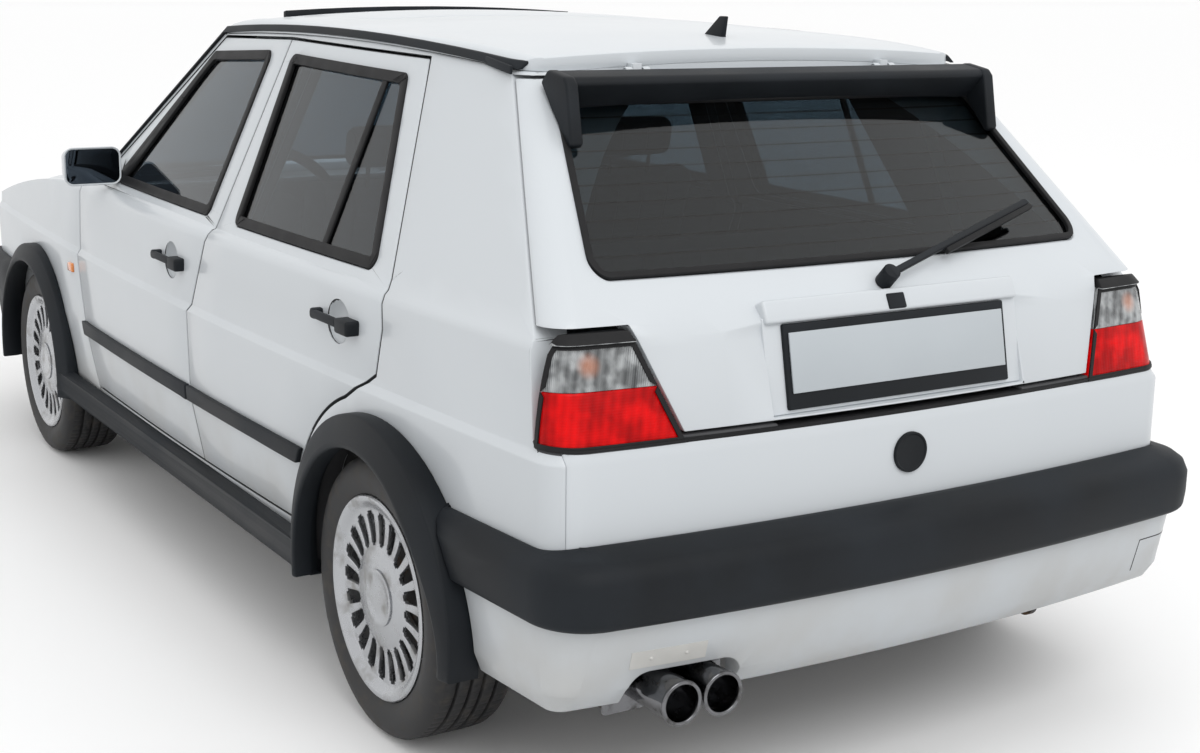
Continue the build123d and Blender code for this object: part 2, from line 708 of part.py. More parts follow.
# Arch flares and sill skirts, one run per side
SKIRT_PROFILE = [(806, 331), (838, 322), (842, 300), (836, 262), (806, 240), (770, 240), (770, 248), (796, 252)]
FLARES = [(FRONT_AXLE_X, FLARE_INNER_FRONT_R), (REAR_AXLE_X, FLARE_INNER_REAR_R)]
with BuildPart() as flares:
    for axle_x, inner_r in FLARES:
        arch = Plane((axle_x, 0, TYRE_R), x_dir=(0, 1, 0), z_dir=(1, 0, 0))
        with BuildSketch(arch):
            with BuildLine():
                Polyline((FLARE_OUT_Y, inner_r), (FLARE_OUT_Y + 2, inner_r + 10), (826, FLARE_OUTER_R),
                         (764, FLARE_OUTER_R), (764, ARCH_R - 6), (806, inner_r), close=True)
            make_face()
        revolve(axis=Axis((axle_x, 0, TYRE_R), (0, 1, 0)))
    with Locations((0, 800, 0)):
        Box(5000, 400, 2 * 245, mode=Mode.SUBTRACT)
    with BuildSketch(Plane.YZ.offset(REAR_AXLE_X + FLARE_INNER_REAR_R + 6)):
        with BuildLine():
            Polyline(*SKIRT_PROFILE, close=True)
        make_face()
    extrude(amount=WHEELBASE - FLARE_INNER_REAR_R - FLARE_INNER_FRONT_R - 12)
    add(body_solid, mode=Mode.SUBTRACT)
save_pair(flares.part, "arch_flares")

# Roof trim: gutter strips, sunroof wind deflector, aerial base
GUTTER_STRIP_W = 16
DEFLECTOR_H = 22
DEFLECTOR_HALF_W = 425
with BuildPart() as gutter:
    add(greenhouse(-9))
    add(greenhouse(0), mode=Mode.SUBTRACT)
    half_space(300, OUT, Mode.INTERSECT)
    with BuildSketch(Plane.XZ):
        with BuildLine():
            ThreePointArc((60, 1347), (-450, 1366), (-1392, 1331))
            Polyline((-1392, 1331), (-1392, 1331 + GUTTER_STRIP_W))
            ThreePointArc((-1392, 1331 + GUTTER_STRIP_W), (-450, 1366 + GUTTER_STRIP_W), (60, 1347 + GUTTER_STRIP_W))
            Polyline((60, 1347 + GUTTER_STRIP_W), (650, 940), (632, 934), (60, 1347))
        make_face()
    extrude(amount=-OUT, mode=Mode.INTERSECT)
    add(roof_shell.part, mode=Mode.SUBTRACT)

with BuildPart() as deflector:
    add(roof_shell.part.moved(Location((0, 0, DEFLECTOR_H))))
    add(roof_shell.part, mode=Mode.SUBTRACT)
    with BuildSketch(Plane.XZ.offset(-DEFLECTOR_HALF_W)):
        with BuildLine():
            Polyline((66, 1300), (74, 1360), (40, OUT), (24, OUT), (56, 1360), (56, 1300), close=True)
        make_face()
    extrude(amount=2 * DEFLECTOR_HALF_W, mode=Mode.INTERSECT)

with BuildPart() as aerial:
    with BuildSketch(Plane.XY.offset(1380)):
        with Locations((-1254, 0)):
            Circle(16)
    extrude(amount=48, taper=8)
    add(roof_shell.part, mode=Mode.SUBTRACT)

with BuildPart() as roof_trim:
    add(deflector.part)
    add(gutter.part)
    mirror(gutter.part, about=Plane.XZ)
    add(aerial.part)
save(roof_trim.part, "roof_trim")

# Bonnet, following the fenders and the foot of the windscreen
BONNET_STATIONS = [(700, 722, 902, 922), (1300, 698, 846, 872), (1905, 656, 738, 764)]
with BuildPart() as bonnet:
    crowned_panel(ROOF_COLUMNS, BONNET_STATIONS)
    plan_prism(green_row(BELT_Z), -70, 600, 1200, Mode.SUBTRACT)
    hinge_knuckles(BONNET_HINGE, BONNET_HINGE_Y, (BONNET_HINGE[0], 820), (884, 902))
save(bonnet.part, "bonnet")

with BuildPart() as hinges:
    hinge_pins(TAILGATE_HINGE, TAILGATE_HINGE_Y, (-1437, -1395), (1329, 1342))
    add(roof_shell.part, mode=Mode.SUBTRACT)
    hinge_pins(BONNET_HINGE, BONNET_HINGE_Y, (735, 745), (870, 903))
save(hinges.part, "hinges")

# Grille with its slats and the two headlamps
GRILLE_HALF_W = FENDER_IN_Y - FIT
GRILLE_Z = (566, 722)
HEADLAMP_Y = 545
HEADLAMP_R = 88
with BuildPart() as grille:
    add(lower_body(0))
    add(lower_body(34), mode=Mode.SUBTRACT)
    with Locations((1900, 0, sum(GRILLE_Z) / 2)):
        Box(400, 2 * GRILLE_HALF_W, GRILLE_Z[1] - GRILLE_Z[0], mode=Mode.INTERSECT)
    with BuildSketch(Plane.YZ.offset(1700)):
        with Locations((HEADLAMP_Y, sum(GRILLE_Z) / 2 - 4), (-HEADLAMP_Y, sum(GRILLE_Z) / 2 - 4)):
            Circle(HEADLAMP_R - 12)
        with GridLocations(0, 26, 1, 4):
            with Locations((0, sum(GRILLE_Z) / 2)):
                Rectangle(2 * (HEADLAMP_Y - HEADLAMP_R - 20), 15)
    extrude(amount=500, mode=Mode.SUBTRACT)
save(grille.part, "grille")

with BuildPart() as headlamps:
    with BuildSketch(Plane.YZ.offset(1855)):
        with Locations((HEADLAMP_Y, sum(GRILLE_Z) / 2 - 4), (-HEADLAMP_Y, sum(GRILLE_Z) / 2 - 4)):
            Circle(HEADLAMP_R - 12 - FIT)
    extrude(amount=68)
save(headlamps.part, "headlamps")

# Front panel behind the grille with the two front rails
RAIL_Y = 430
with BuildPart() as front_panel:
    with Locations((1846, 0, 480)):
        Box(14, 1240, 440)
    with Locations((1282.5, RAIL_Y, 330), (1282.5, -RAIL_Y, 330)):
        Box(1113, 50, 90)
save(front_panel.part, "front_panel")

# Bulkhead and scuttle in front of the cabin
with BuildPart() as bulkhead:
    with Locations((716, 0, 560)):
        Box(20, 1300, 620)
    with Locations((770, 0, 862)):
        Box(128, 1300, 16)
save(bulkhead.part, "bulkhead")

# Floor with tunnel, heel board, rear floor and spare wheel well
FLOOR_T = 14
FLOOR_Z = 256
JACK_PAD_Z = 222
JACK_PADS = [(420, 620, JACK_PAD_Z), (420, -620, JACK_PAD_Z), (-560, 620, JACK_PAD_Z), (-560, -620, JACK_PAD_Z)]
with BuildPart() as floor_pan:
    with Locations((-99.5, 0, FLOOR_Z)):
        Box(1611, 1700, FLOOR_T)
    add(lower_body(WALL_T + FRAME_T + FIT), mode=Mode.INTERSECT)
    with Locations((-1362.5, 0, FLOOR_Z + 120)):
        Box(937, 1060, FLOOR_T)
    with Locations((-105, 0, FLOOR_Z + 60)):
        Box(1600, 200, 120)
    with Locations((-898, 0, FLOOR_Z + 60)):
        Box(FLOOR_T, 1160, 120 + FLOOR_T)
    with BuildSketch(Plane.XY.offset(FLOOR_Z + 127)):
        with Locations((-1560, -120)):
            Circle(290)
    extrude(amount=-110)
    with BuildSketch(Plane.XY.offset(FLOOR_Z + 140)):
        with Locations((-1560, -120)):
            Circle(280)
    extrude(amount=-113, mode=Mode.SUBTRACT)
    with Locations(*JACK_PADS):
        Box(90, 60, FLOOR_Z - JACK_PAD_Z, align=(Align.CENTER, Align.CENTER, Align.MIN))
save(floor_pan.part, "floor_pan")

# Towing eye hanging behind the rear axle on the right
EYE_AT = (-1815, -450, 232)
EYE_R = 14
EYE_T = 14
with BuildPart() as towing_eye:
    with BuildSketch(Plane.XZ.offset(-EYE_AT[1] - EYE_T / 2)):
        with Locations((EYE_AT[0], EYE_AT[2])):
            Circle(EYE_R + 14)
        with Locations((EYE_AT[0], (EYE_AT[2] + FLOOR_Z + 113) / 2)):
            Rectangle(34, FLOOR_Z + 113 - EYE_AT[2])
        with Locations((EYE_AT[0], EYE_AT[2])):
            Circle(EYE_R, mode=Mode.SUBTRACT)
    extrude(amount=EYE_T)
save(towing_eye.part, "towing_eye")

# Wheel houses
HOUSE_T = 6
HOUSE_OUT_Y = 790
HOUSE_COLUMNS = ("x", "inner_y", "radius", "panel_t")
HOUSES = [(FRONT_AXLE_X, 462, 356, WALL_T), (REAR_AXLE_X, 540, 352, SIDE_T)]
house_pairs = []
for row in HOUSES:
    house = named(HOUSE_COLUMNS, row)
    with BuildPart() as house_pair:
        for side in (1, -1):
            base = Plane((house["x"], side * house["inner_y"], TYRE_R), x_dir=(1, 0, 0), z_dir=(0, side, 0))
            with BuildSketch(base):
                Circle(house["radius"] + HOUSE_T)
            extrude(amount=HOUSE_OUT_Y - house["inner_y"])
            with BuildSketch(base.offset(HOUSE_T)):
                Circle(house["radius"])
            extrude(amount=800, mode=Mode.SUBTRACT)
        with Locations((0, 0, TYRE_R - 300)):
            Box(5000, 3000, 600, mode=Mode.SUBTRACT)
        add(lower_body(house["panel_t"] + FIT), mode=Mode.INTERSECT)
    house_pairs.append(house_pair.part)
with BuildPart() as wheel_houses:
    add(house_pairs)
save(wheel_houses.part, "wheel_houses")

# Wheels: tyre and spoked rim, then the front knuckles
WHEEL_COLUMNS = ("name", "x", "side")
WHEELS = [
    ("front_left", FRONT_AXLE_X, 1),
    ("front_right", FRONT_AXLE_X, -1),
    ("rear_left", REAR_AXLE_X, 1),
    ("rear_right", REAR_AXLE_X, -1),
]
HALF_W = TYRE_W / 2
BEAD_R = 200
HUB_R = 96
WINDOW_R = (106, 182)
for row in WHEELS:
    wheel = named(WHEEL_COLUMNS, row)
    centre = (wheel["x"], wheel["side"] * HALF_TRACK, TYRE_R)
    half_plane = Plane(centre, x_dir=(0, wheel["side"], 0), z_dir=(wheel["side"], 0, 0))
    spin = Axis(centre, (0, 1, 0))
    with BuildPart() as tyre:
        with BuildSketch(half_plane):
            with BuildLine():
                Polyline((-86, RIM_LIP_R + 1), (-77, RIM_LIP_R + 1), (-77, BEAD_R), (77, BEAD_R), (77, RIM_LIP_R + 1),
                         (86, RIM_LIP_R + 1))
                ThreePointArc((86, RIM_LIP_R + 1), (HALF_W, 242), (HALF_W - 9, 274))
                ThreePointArc((HALF_W - 9, 274), (HALF_W - 13, 281), (HALF_W - 22, TYRE_R - 2))
                ThreePointArc((HALF_W - 22, TYRE_R - 2), (0, TYRE_R), (22 - HALF_W, TYRE_R - 2))
                ThreePointArc((22 - HALF_W, TYRE_R - 2), (13 - HALF_W, 281), (9 - HALF_W, 274))
                ThreePointArc((9 - HALF_W, 274), (-HALF_W, 242), (-86, RIM_LIP_R + 1))
            make_face()
        revolve(axis=spin)
    save(tyre.part, f"tyre_{wheel['name']}")

    with BuildPart() as rim:
        with BuildSketch(half_plane):
            with BuildLine():
                Polyline((0, 0), (62, 0), (62, HUB_R - 10), (54, HUB_R), (50, WINDOW_R[1]), (84, 192),
                         (RIM_FACE_OUT, 204), (RIM_FACE_OUT - 4, RIM_LIP_R), (80, RIM_LIP_R), (79, BEAD_R - FIT),
                         (-78, BEAD_R - FIT), (-80, RIM_LIP_R - 4), (-86, RIM_LIP_R - 4), (-86, 190), (26, 182),
                         (30, HUB_R), (20, 60), (0, 60), close=True)
            make_face()
        revolve(axis=spin)
        face = Plane(centre, x_dir=(1, 0, 0), z_dir=(0, wheel["side"], 0))
        with BuildSketch(face):
            with PolarLocations((WINDOW_R[0] + WINDOW_R[1]) / 2, SPOKE_COUNT):
                SlotOverall(WINDOW_R[1] - WINDOW_R[0] - 6, 19)
        extrude(amount=120, mode=Mode.SUBTRACT)
    save(rim.part, f"rim_{wheel['name']}")

for side, word in ((1, "left"), (-1, "right")):
    with BuildPart() as knuckle:
        hub = Plane((FRONT_AXLE_X, side * 640, TYRE_R), x_dir=(1, 0, 0), z_dir=(0, side, 0))
        with BuildSketch(hub):
            Circle(58)
        extrude(amount=HALF_TRACK - 640 - FIT)
        with Locations((FRONT_AXLE_X, side * 664, TYRE_R)):
            Box(64, 34, 240)
    save(knuckle.part, f"knuckle_{word}")

# Rear axle beam, front subframe with arms and struts
with BuildPart() as rear_axle:
    with Locations((REAR_AXLE_X + 190, 0, 250)):
        Box(90, 1120, 70)
    with Locations((REAR_AXLE_X + 147.5, 560, 250), (REAR_AXLE_X + 147.5, -560, 250)):
        Box(435, 60, 70)
    for side in (1, -1):
        stub = Plane((REAR_AXLE_X, side * 560, TYRE_R), x_dir=(1, 0, 0), z_dir=(0, side, 0))
        with BuildSketch(stub):
            Circle(52)
        extrude(amount=HALF_TRACK - 560 - FIT)
save(rear_axle.part, "rear_axle")

KINGPIN_Y = 690
ARM_Z = (138, 166)
SUBFRAME_TOP_Z = 230
STRUT_TOP_Z = 643
with BuildPart() as front_subframe:
    with Locations((FRONT_AXLE_X, 0, (ARM_Z[0] + SUBFRAME_TOP_Z) / 2)):
        Box(220, 780, SUBFRAME_TOP_Z - ARM_Z[0])
    for side in (1, -1):
        with Locations((FRONT_AXLE_X, side * 545, sum(ARM_Z) / 2)):
            Box(60, 322, ARM_Z[1] - ARM_Z[0])
        with Locations((FRONT_AXLE_X, side * RAIL_Y, SUBFRAME_TOP_Z)):
            Box(80, 50, 55, align=(Align.CENTER, Align.CENTER, Align.MIN))
        with BuildSketch(Plane((FRONT_AXLE_X, side * KINGPIN_Y, ARM_Z[1]))):
            Circle(14)
        extrude(amount=2 - FIT)
        with BuildSketch(Plane((FRONT_AXLE_X, side * 545, ARM_Z[1]))):
            Circle(24)
        extrude(amount=STRUT_TOP_Z - ARM_Z[1])
save(front_subframe.part, "front_subframe")

# Heavy and hanging pieces seen from below
with BuildPart() as engine_block:
    with Locations((1330, 0, SUBFRAME_TOP_Z)):
        Box(420, 640, 480, align=(Align.CENTER, Align.CENTER, Align.MIN))
save(engine_block.part, "engine_block")

with BuildPart() as fuel_tank:
    with Locations((-700, -190, 140)):
        Box(330, 620, 110, align=(Align.CENTER, Align.CENTER, Align.MIN))
save(fuel_tank.part, "fuel_tank")

TIP_X = (-1990, -1860)
PIPE = 46
PIPE_COLUMNS = ("x0", "x1", "y0", "y1", "z0", "z1")
PIPE_RUNS = [
    (-1660, -1390, 430, 430, 306, 306),
    (-1390, -1390, 230, 430, 306, 306),
    (-1390, -960, 230, 230, 318, 318),
    (-960, -960, 230, 230, 218, 318),
    (-960, 1060, 230, 230, 218, 218),
    (1060, 1060, 230, 230, 218, 320),
]
with BuildPart() as exhaust:
    with Locations((-1750, 500, 280)):
        Box(214, 250, 112)
    with Locations((-1720, 480, 336)):
        Box(14, 14, FLOOR_Z + 120 - FLOOR_T / 2 - 336, align=(Align.CENTER, Align.CENTER, Align.MIN))
    for y in TIP_Y:
        with BuildSketch(Plane.YZ.offset(TIP_X[1] + 20)):
            with Locations((y, TIP_Z)):
                Circle(TIP_R)
        extrude(amount=TIP_X[0] - TIP_X[1] - 20)
        with BuildSketch(Plane.YZ.offset(TIP_X[0])):
            with Locations((y, TIP_Z)):
                Circle(TIP_R - 5)
        extrude(amount=90, mode=Mode.SUBTRACT)
    for row in PIPE_RUNS:
        run = named(PIPE_COLUMNS, row)
        with Locations(((run["x0"] + run["x1"]) / 2, (run["y0"] + run["y1"]) / 2, (run["z0"] + run["z1"]) / 2)):
            Box(run["x1"] - run["x0"] + PIPE, run["y1"] - run["y0"] + PIPE, run["z1"] - run["z0"] + PIPE)
save(exhaust.part, "exhaust")

# Cabin: seats, dashboard, parcel shelf, steering wheel
with BuildPart() as seat:
    with Locations((-40, 345, 440)):
        Box(500, 480, 150)
    with BuildSketch(Plane.XZ.offset(-(345 - 230))):
        with BuildLine():
            Polyline((-180, 500), (-290, 500), (-440, 1010), (-330, 1030), close=True)
        make_face()
    extrude(amount=-460)
    with Locations((-410, 345, 1090)):
        Box(80, 260, 120)
    with Locations((-395, 345, 1030)):
        Box(20, 120, 60)
    with Locations((-40, 345, 314)):
        Box(420, 380, 102)
save_pair(seat.part, "front_seats")

with BuildPart() as rear_seat:
    with Locations((-900, 0, 475)):
        Box(430, 1050, 184)
    with BuildSketch(Plane.XZ.offset(-525)):
        with BuildLine():
            Polyline((-1000, 550), (-1110, 550), (-1260, 960), (-1150, 980), close=True)
        make_face()
    extrude(amount=1050)
save(rear_seat.part, "rear_seat")

with BuildPart() as dashboard:
    with Locations((-1517, 0, 880)):
        Box(364, 1600, 16)
    add(lower_body(SIDE_T + FIT), mode=Mode.INTERSECT)
    with BuildSketch(Plane.XZ.offset(-630)):
        with BuildLine():
            Polyline((706, 620), (500, 640), (470, 860), (520, 900), (706, 890), close=True)
        make_face()
    extrude(amount=1260)
save(dashboard.part, "dashboard")

WHEEL_TILT = 24
with BuildPart() as steering_wheel:
    boss = Plane((330, 345, 840), x_dir=(0, 1, 0), z_dir=(-cos(radians(WHEEL_TILT)), 0, sin(radians(WHEEL_TILT))))
    with BuildSketch(boss):
        Circle(188)
        Circle(160, mode=Mode.SUBTRACT)
        Rectangle(340, 40)
        Circle(60)
    extrude(amount=24)
    with BuildSketch(boss):
        Circle(28)
    extrude(amount=-147)
save(steering_wheel.part, "steering_wheel")
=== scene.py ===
"""Compact five-door hatchback in white with charcoal trim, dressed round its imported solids."""
import json
import math

import bpy
from mathutils import Matrix, Vector

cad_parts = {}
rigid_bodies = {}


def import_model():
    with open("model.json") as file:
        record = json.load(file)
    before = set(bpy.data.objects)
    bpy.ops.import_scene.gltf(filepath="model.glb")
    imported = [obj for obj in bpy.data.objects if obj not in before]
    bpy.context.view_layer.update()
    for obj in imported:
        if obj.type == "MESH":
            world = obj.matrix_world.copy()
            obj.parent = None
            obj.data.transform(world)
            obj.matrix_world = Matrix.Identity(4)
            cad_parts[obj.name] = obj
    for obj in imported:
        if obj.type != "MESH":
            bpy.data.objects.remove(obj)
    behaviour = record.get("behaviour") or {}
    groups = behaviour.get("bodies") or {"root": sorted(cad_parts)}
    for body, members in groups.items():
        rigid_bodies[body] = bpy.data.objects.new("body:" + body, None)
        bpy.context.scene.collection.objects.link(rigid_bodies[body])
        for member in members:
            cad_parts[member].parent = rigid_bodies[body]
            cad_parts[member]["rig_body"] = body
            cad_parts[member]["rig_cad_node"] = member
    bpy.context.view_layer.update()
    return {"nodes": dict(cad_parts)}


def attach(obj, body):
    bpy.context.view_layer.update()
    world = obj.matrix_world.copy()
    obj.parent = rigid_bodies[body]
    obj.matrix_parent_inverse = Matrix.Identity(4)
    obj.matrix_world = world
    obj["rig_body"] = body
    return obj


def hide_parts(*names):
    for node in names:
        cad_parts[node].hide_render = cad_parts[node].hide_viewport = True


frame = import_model()

# The camera stands behind the left rear corner at about eye height, with an ordinary lens
# and no shift.
LENS_MM = 52.747
SENSOR_MM = 36
CAMERA_EYE = (-4.31374, 2.18663, 1.51082)
CAMERA_RIGHT = (-0.527814, -0.849199, 0.016522)
CAMERA_UP = (0.198547, -0.104445, 0.97451)
CAMERA_BACK = (-0.825828, 0.51764, 0.223733)
camera_data = bpy.data.cameras.new("camera")
camera_data.sensor_width = SENSOR_MM
camera_data.lens = LENS_MM
camera_data.clip_end = 900
camera = bpy.data.objects.new("camera", camera_data)
camera_rows = list(zip(CAMERA_RIGHT, CAMERA_UP, CAMERA_BACK, CAMERA_EYE))
camera.matrix_world = Matrix(camera_rows + [(0, 0, 0, 1)])
bpy.context.scene.collection.objects.link(camera)
bpy.context.scene.camera = camera
bpy.context.scene.view_settings.view_transform = "Standard"


class Wire:
    """One shader socket. Sums on it add Math nodes, and make() adds any other node."""

    def __init__(self, socket):
        self.socket = socket

    def make(self, kind, settings=None, sockets=None, out=0):
        tree = self.socket.id_data
        node = tree.nodes.new(kind)
        for key, value in (settings or {}).items():
            setattr(node, key, value)
        for key, value in (sockets or {}).items():
            if isinstance(value, Wire):
                tree.links.new(value.socket, node.inputs[key])
            else:
                node.inputs[key].default_value = value
        return Wire(node.outputs[out])

    def into(self, node, key):
        self.socket.id_data.links.new(self.socket, node.inputs[key])

    def sum(self, operation, first, second):
        return self.make("ShaderNodeMath", {"operation": operation}, {0: first, 1: second})

    def __add__(self, other):
        return self.sum("ADD", self, other)

    def __radd__(self, other):
        return self.sum("ADD", other, self)

    def __sub__(self, other):
        return self.sum("SUBTRACT", self, other)

    def __rsub__(self, other):
        return self.sum("SUBTRACT", other, self)

    def __mul__(self, other):
        return self.sum("MULTIPLY", self, other)

    def noise(self, scale, detail=3.0):
        return self.make("ShaderNodeTexNoise", {}, {"Vector": self, "Scale": scale, "Detail": detail})

    def axis(self, letter):
        return self.make("ShaderNodeSeparateXYZ", {}, {"Vector": self}, "XYZ".index(letter))

    def ramp(self, low, high):
        """0 below low, 1 above high, eased between; low may be the larger."""
        ends = {"Value": self, "From Min": low, "From Max": high}
        return self.make("ShaderNodeMapRange", {"interpolation_type": "SMOOTHSTEP"}, ends)

    def blend(self, first, second):
        """Colour from first at 0 to second at 1."""
        return self.make("ShaderNodeMix", {"data_type": "RGBA"}, {0: self, 6: first, 7: second}, 2)

    def wave(self, pitch):
        """Triangle wave from 0 to 1 and back over each pitch."""
        return self.sum("PINGPONG", self, pitch / 2) * (2 / pitch)

    def near(self, point, core, edge):
        """1 within core of a point, 0 beyond edge."""
        gap = self.make("ShaderNodeVectorMath", {"operation": "DISTANCE"}, {0: self, 1: point}, 1)
        return gap.ramp(edge, core)

    def bump(self, strength, distance):
        ends = {"Height": self, "Strength": strength, "Distance": distance}
        return self.make("ShaderNodeBump", {}, ends)


# The studio is a wide pale floor under an even white sky, with one large soft lamp
# behind the car, so that the flank lies in light shade and shows its creases. The floor throws
# less light back up at the car than the eye sees on it.
FLOOR_SPAN = 700
FLOOR_Z = -0.001
FLOOR_SEEN = (0.985, 0.985, 0.985, 1)
FLOOR_BOUNCE = (0.50, 0.50, 0.50, 1)
bpy.ops.object.select_all(action="DESELECT")
bpy.ops.mesh.primitive_plane_add(size=FLOOR_SPAN, location=(0, 0, FLOOR_Z))
floor = bpy.context.active_object
floor.name = "studio_floor"
floor_finish = bpy.data.materials.new("pale_floor")
floor_finish.use_nodes = True
floor_shader = floor_finish.node_tree.nodes["Principled BSDF"]
floor_shader.inputs["Roughness"].default_value = 0.9
floor_shader.inputs["Specular IOR Level"].default_value = 0.1
ray_kind = floor_finish.node_tree.nodes.new("ShaderNodeLightPath").outputs
seen = Wire(ray_kind["Is Camera Ray"])
for kind in ("Is Glossy Ray", "Is Transmission Ray"):
    seen = seen.sum("MAXIMUM", seen, Wire(ray_kind[kind]))
seen.blend(FLOOR_BOUNCE, FLOOR_SEEN).into(floor_shader, "Base Color")
floor.data.materials.append(floor_finish)
sky = bpy.data.worlds.new("studio_sky")
sky.use_nodes = True
bpy.context.scene.world = sky
sky.node_tree.nodes["Background"].inputs["Color"].default_value = (1, 1, 1, 1)
sky.node_tree.nodes["Background"].inputs["Strength"].default_value = 1
LAMP_AT = (-7.0, 1.0, 7.0)
LAMP_AIM = (0, 0, 0.6)
LAMP_SIDE = 5.0
LAMP_POWER = 190
lamp_data = bpy.data.lights.new("soft_lamp", "AREA")
lamp_data.size = LAMP_SIDE
lamp_data.energy = LAMP_POWER
soft_lamp = bpy.data.objects.new("soft_lamp", lamp_data)
soft_lamp.location = LAMP_AT
lamp_way = Vector(LAMP_AIM) - Vector(LAMP_AT)
soft_lamp.rotation_euler = lamp_way.to_track_quat("-Z", "Y").to_euler()
bpy.context.scene.collection.objects.link(soft_lamp)


# The underbody is pressed steel under a dark sealing coat: floor with its tunnel and wheel
# well, bulkhead, front rails and wheel houses, all welded together and dulled by road dust.
def new_finish(name, **fixed):
    """A Principled material with plain values set; gives it, its shader and Object coordinates."""
    finish = bpy.data.materials.new(name)
    finish.use_nodes = True
    shader = finish.node_tree.nodes["Principled BSDF"]
    for key, value in fixed.items():
        shader.inputs[key.replace("_", " ")].default_value = value
    place = Wire(finish.node_tree.nodes.new("ShaderNodeTexCoord").outputs["Object"])
    return finish, shader, place


def paint_node(node, finish):
    """Gives a CAD node its finish and leaves its shape alone."""
    solid = frame["nodes"][node]
    solid.data.materials.clear()
    solid.data.materials.append(finish)


sealed_steel, shader, place = new_finish("sealed_steel")
dust = place.noise(9, 6).ramp(0.42, 0.72)
dust.blend((0.045, 0.045, 0.047, 1), (0.15, 0.14, 0.125, 1)).into(shader, "Base Color")
(0.6 + dust * 0.3).into(shader, "Roughness")
place.noise(220, 4).bump(0.35, 0.002).into(shader, "Normal")
for node in ("floor_pan", "bulkhead", "front_panel", "wheel_houses"):
    paint_node(node, sealed_steel)

# The running gear is cast and forged iron: rear beam, front subframe with its struts, the
# knuckles and the engine block, with brown dust in the rough skin. The fuel tank is blown
# plastic.
cast_iron, shader, place = new_finish("cast_iron")
rust = place.noise(24, 6).ramp(0.5, 0.75)
rust.blend((0.06, 0.058, 0.056, 1), (0.17, 0.095, 0.05, 1)).into(shader, "Base Color")
(0.55 + rust * 0.35).into(shader, "Roughness")
(0.55 - rust * 0.5).into(shader, "Metallic")
place.noise(300, 3).bump(0.4, 0.0015).into(shader, "Normal")
for node in ("rear_axle", "front_subframe", "knuckle_left", "knuckle_right", "engine_block",
             "towing_eye"):
    paint_node(node, cast_iron)
tank_plastic, shader, place = new_finish("tank_plastic")
place.noise(14, 4).blend((0.03, 0.03, 0.032, 1), (0.08, 0.078, 0.072, 1)).into(shader, "Base Color")
(0.5 + place.noise(30) * 0.3).into(shader, "Roughness")
place.noise(160, 3).bump(0.2, 0.001).into(shader, "Normal")
paint_node("fuel_tank", tank_plastic)


# The exhaust runs under the tunnel to one box and two short round tips of dark chromed
# steel with rolled lips; the pipes and box are plain steel browned by heat.
def select_only(piece):
    bpy.ops.object.select_all(action="DESELECT")
    piece.select_set(True)
    bpy.context.view_layer.objects.active = piece


def copy_solid(node, name):
    """A welded copy of a CAD node, free to be cut and rounded."""
    select_only(frame["nodes"][node])
    bpy.ops.object.duplicate()
    piece = bpy.context.active_object
    piece.name = name
    del piece["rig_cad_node"]
    del piece["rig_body"]
    piece.data.materials.clear()
    bpy.ops.object.mode_set(mode="EDIT")
    bpy.ops.mesh.select_all(action="SELECT")
    bpy.ops.mesh.remove_doubles(threshold=0.00002)
    bpy.ops.mesh.customdata_custom_splitnormals_clear()
    bpy.ops.object.mode_set(mode="OBJECT")
    return piece


def cut_away(piece, point, normal):
    """Removes what lies on the normal's side of a plane and closes the cut."""
    select_only(piece)
    bpy.ops.object.mode_set(mode="EDIT")
    bpy.ops.mesh.select_all(action="SELECT")
    bpy.ops.mesh.bisect(plane_co=point, plane_no=normal, use_fill=True, clear_outer=True)
    bpy.ops.object.mode_set(mode="OBJECT")


def apply_modifier(piece, kind, **values):
    select_only(piece)
    step = piece.modifiers.new(kind.lower(), kind)
    for key, value in values.items():
        setattr(step, key, value)
    bpy.ops.object.modifier_apply(modifier=step.name)


def round_edges(piece, width, segments=2, angle=32):
    apply_modifier(piece, "BEVEL", width=width, segments=segments, limit_method="ANGLE",
                   angle_limit=math.radians(angle), use_clamp_overlap=False, miter_outer="MITER_ARC")


def settle(piece, body, finish, turn=38):
    """Smooth shading, finish and the body that carries the piece."""
    select_only(piece)
    bpy.ops.object.shade_smooth_by_angle(angle=math.radians(turn))
    piece.data.materials.append(finish)
    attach(piece, body)


PIPE_END_X = -1.846
TIP_PLACES = ((0.550, 0.281), (0.463, 0.281))
TIP_LIP_X = -1.987
TIP_LIP_RING_R = 0.0378
TIP_LIP_R = 0.0042
burnt_steel, shader, place = new_finish("burnt_steel", Metallic=0.85)
heat = place.noise(16, 5).ramp(0.35, 0.7)
heat.blend((0.075, 0.07, 0.065, 1), (0.05, 0.03, 0.02, 1)).into(shader, "Base Color")
(0.42 + heat * 0.3).into(shader, "Roughness")
place.noise(240, 3).bump(0.25, 0.001).into(shader, "Normal")
tip_chrome, shader, place = new_finish("tip_chrome", Metallic=1.0)
soot = place.noise(40, 4).ramp(0.45, 0.8)
soot.blend((0.17, 0.172, 0.18, 1), (0.05, 0.048, 0.045, 1)).into(shader, "Base Color")
(0.12 + soot * 0.3).into(shader, "Roughness")
pipes = copy_solid("exhaust", "exhaust_pipes")
cut_away(pipes, (PIPE_END_X, 0, 0), (-1, 0, 0))
round_edges(pipes, 0.015, 3)
settle(pipes, "shell", burnt_steel)
tips = copy_solid("exhaust", "exhaust_tips")
cut_away(tips, (PIPE_END_X, 0, 0), (1, 0, 0))
settle(tips, "shell", tip_chrome)
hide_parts("exhaust")
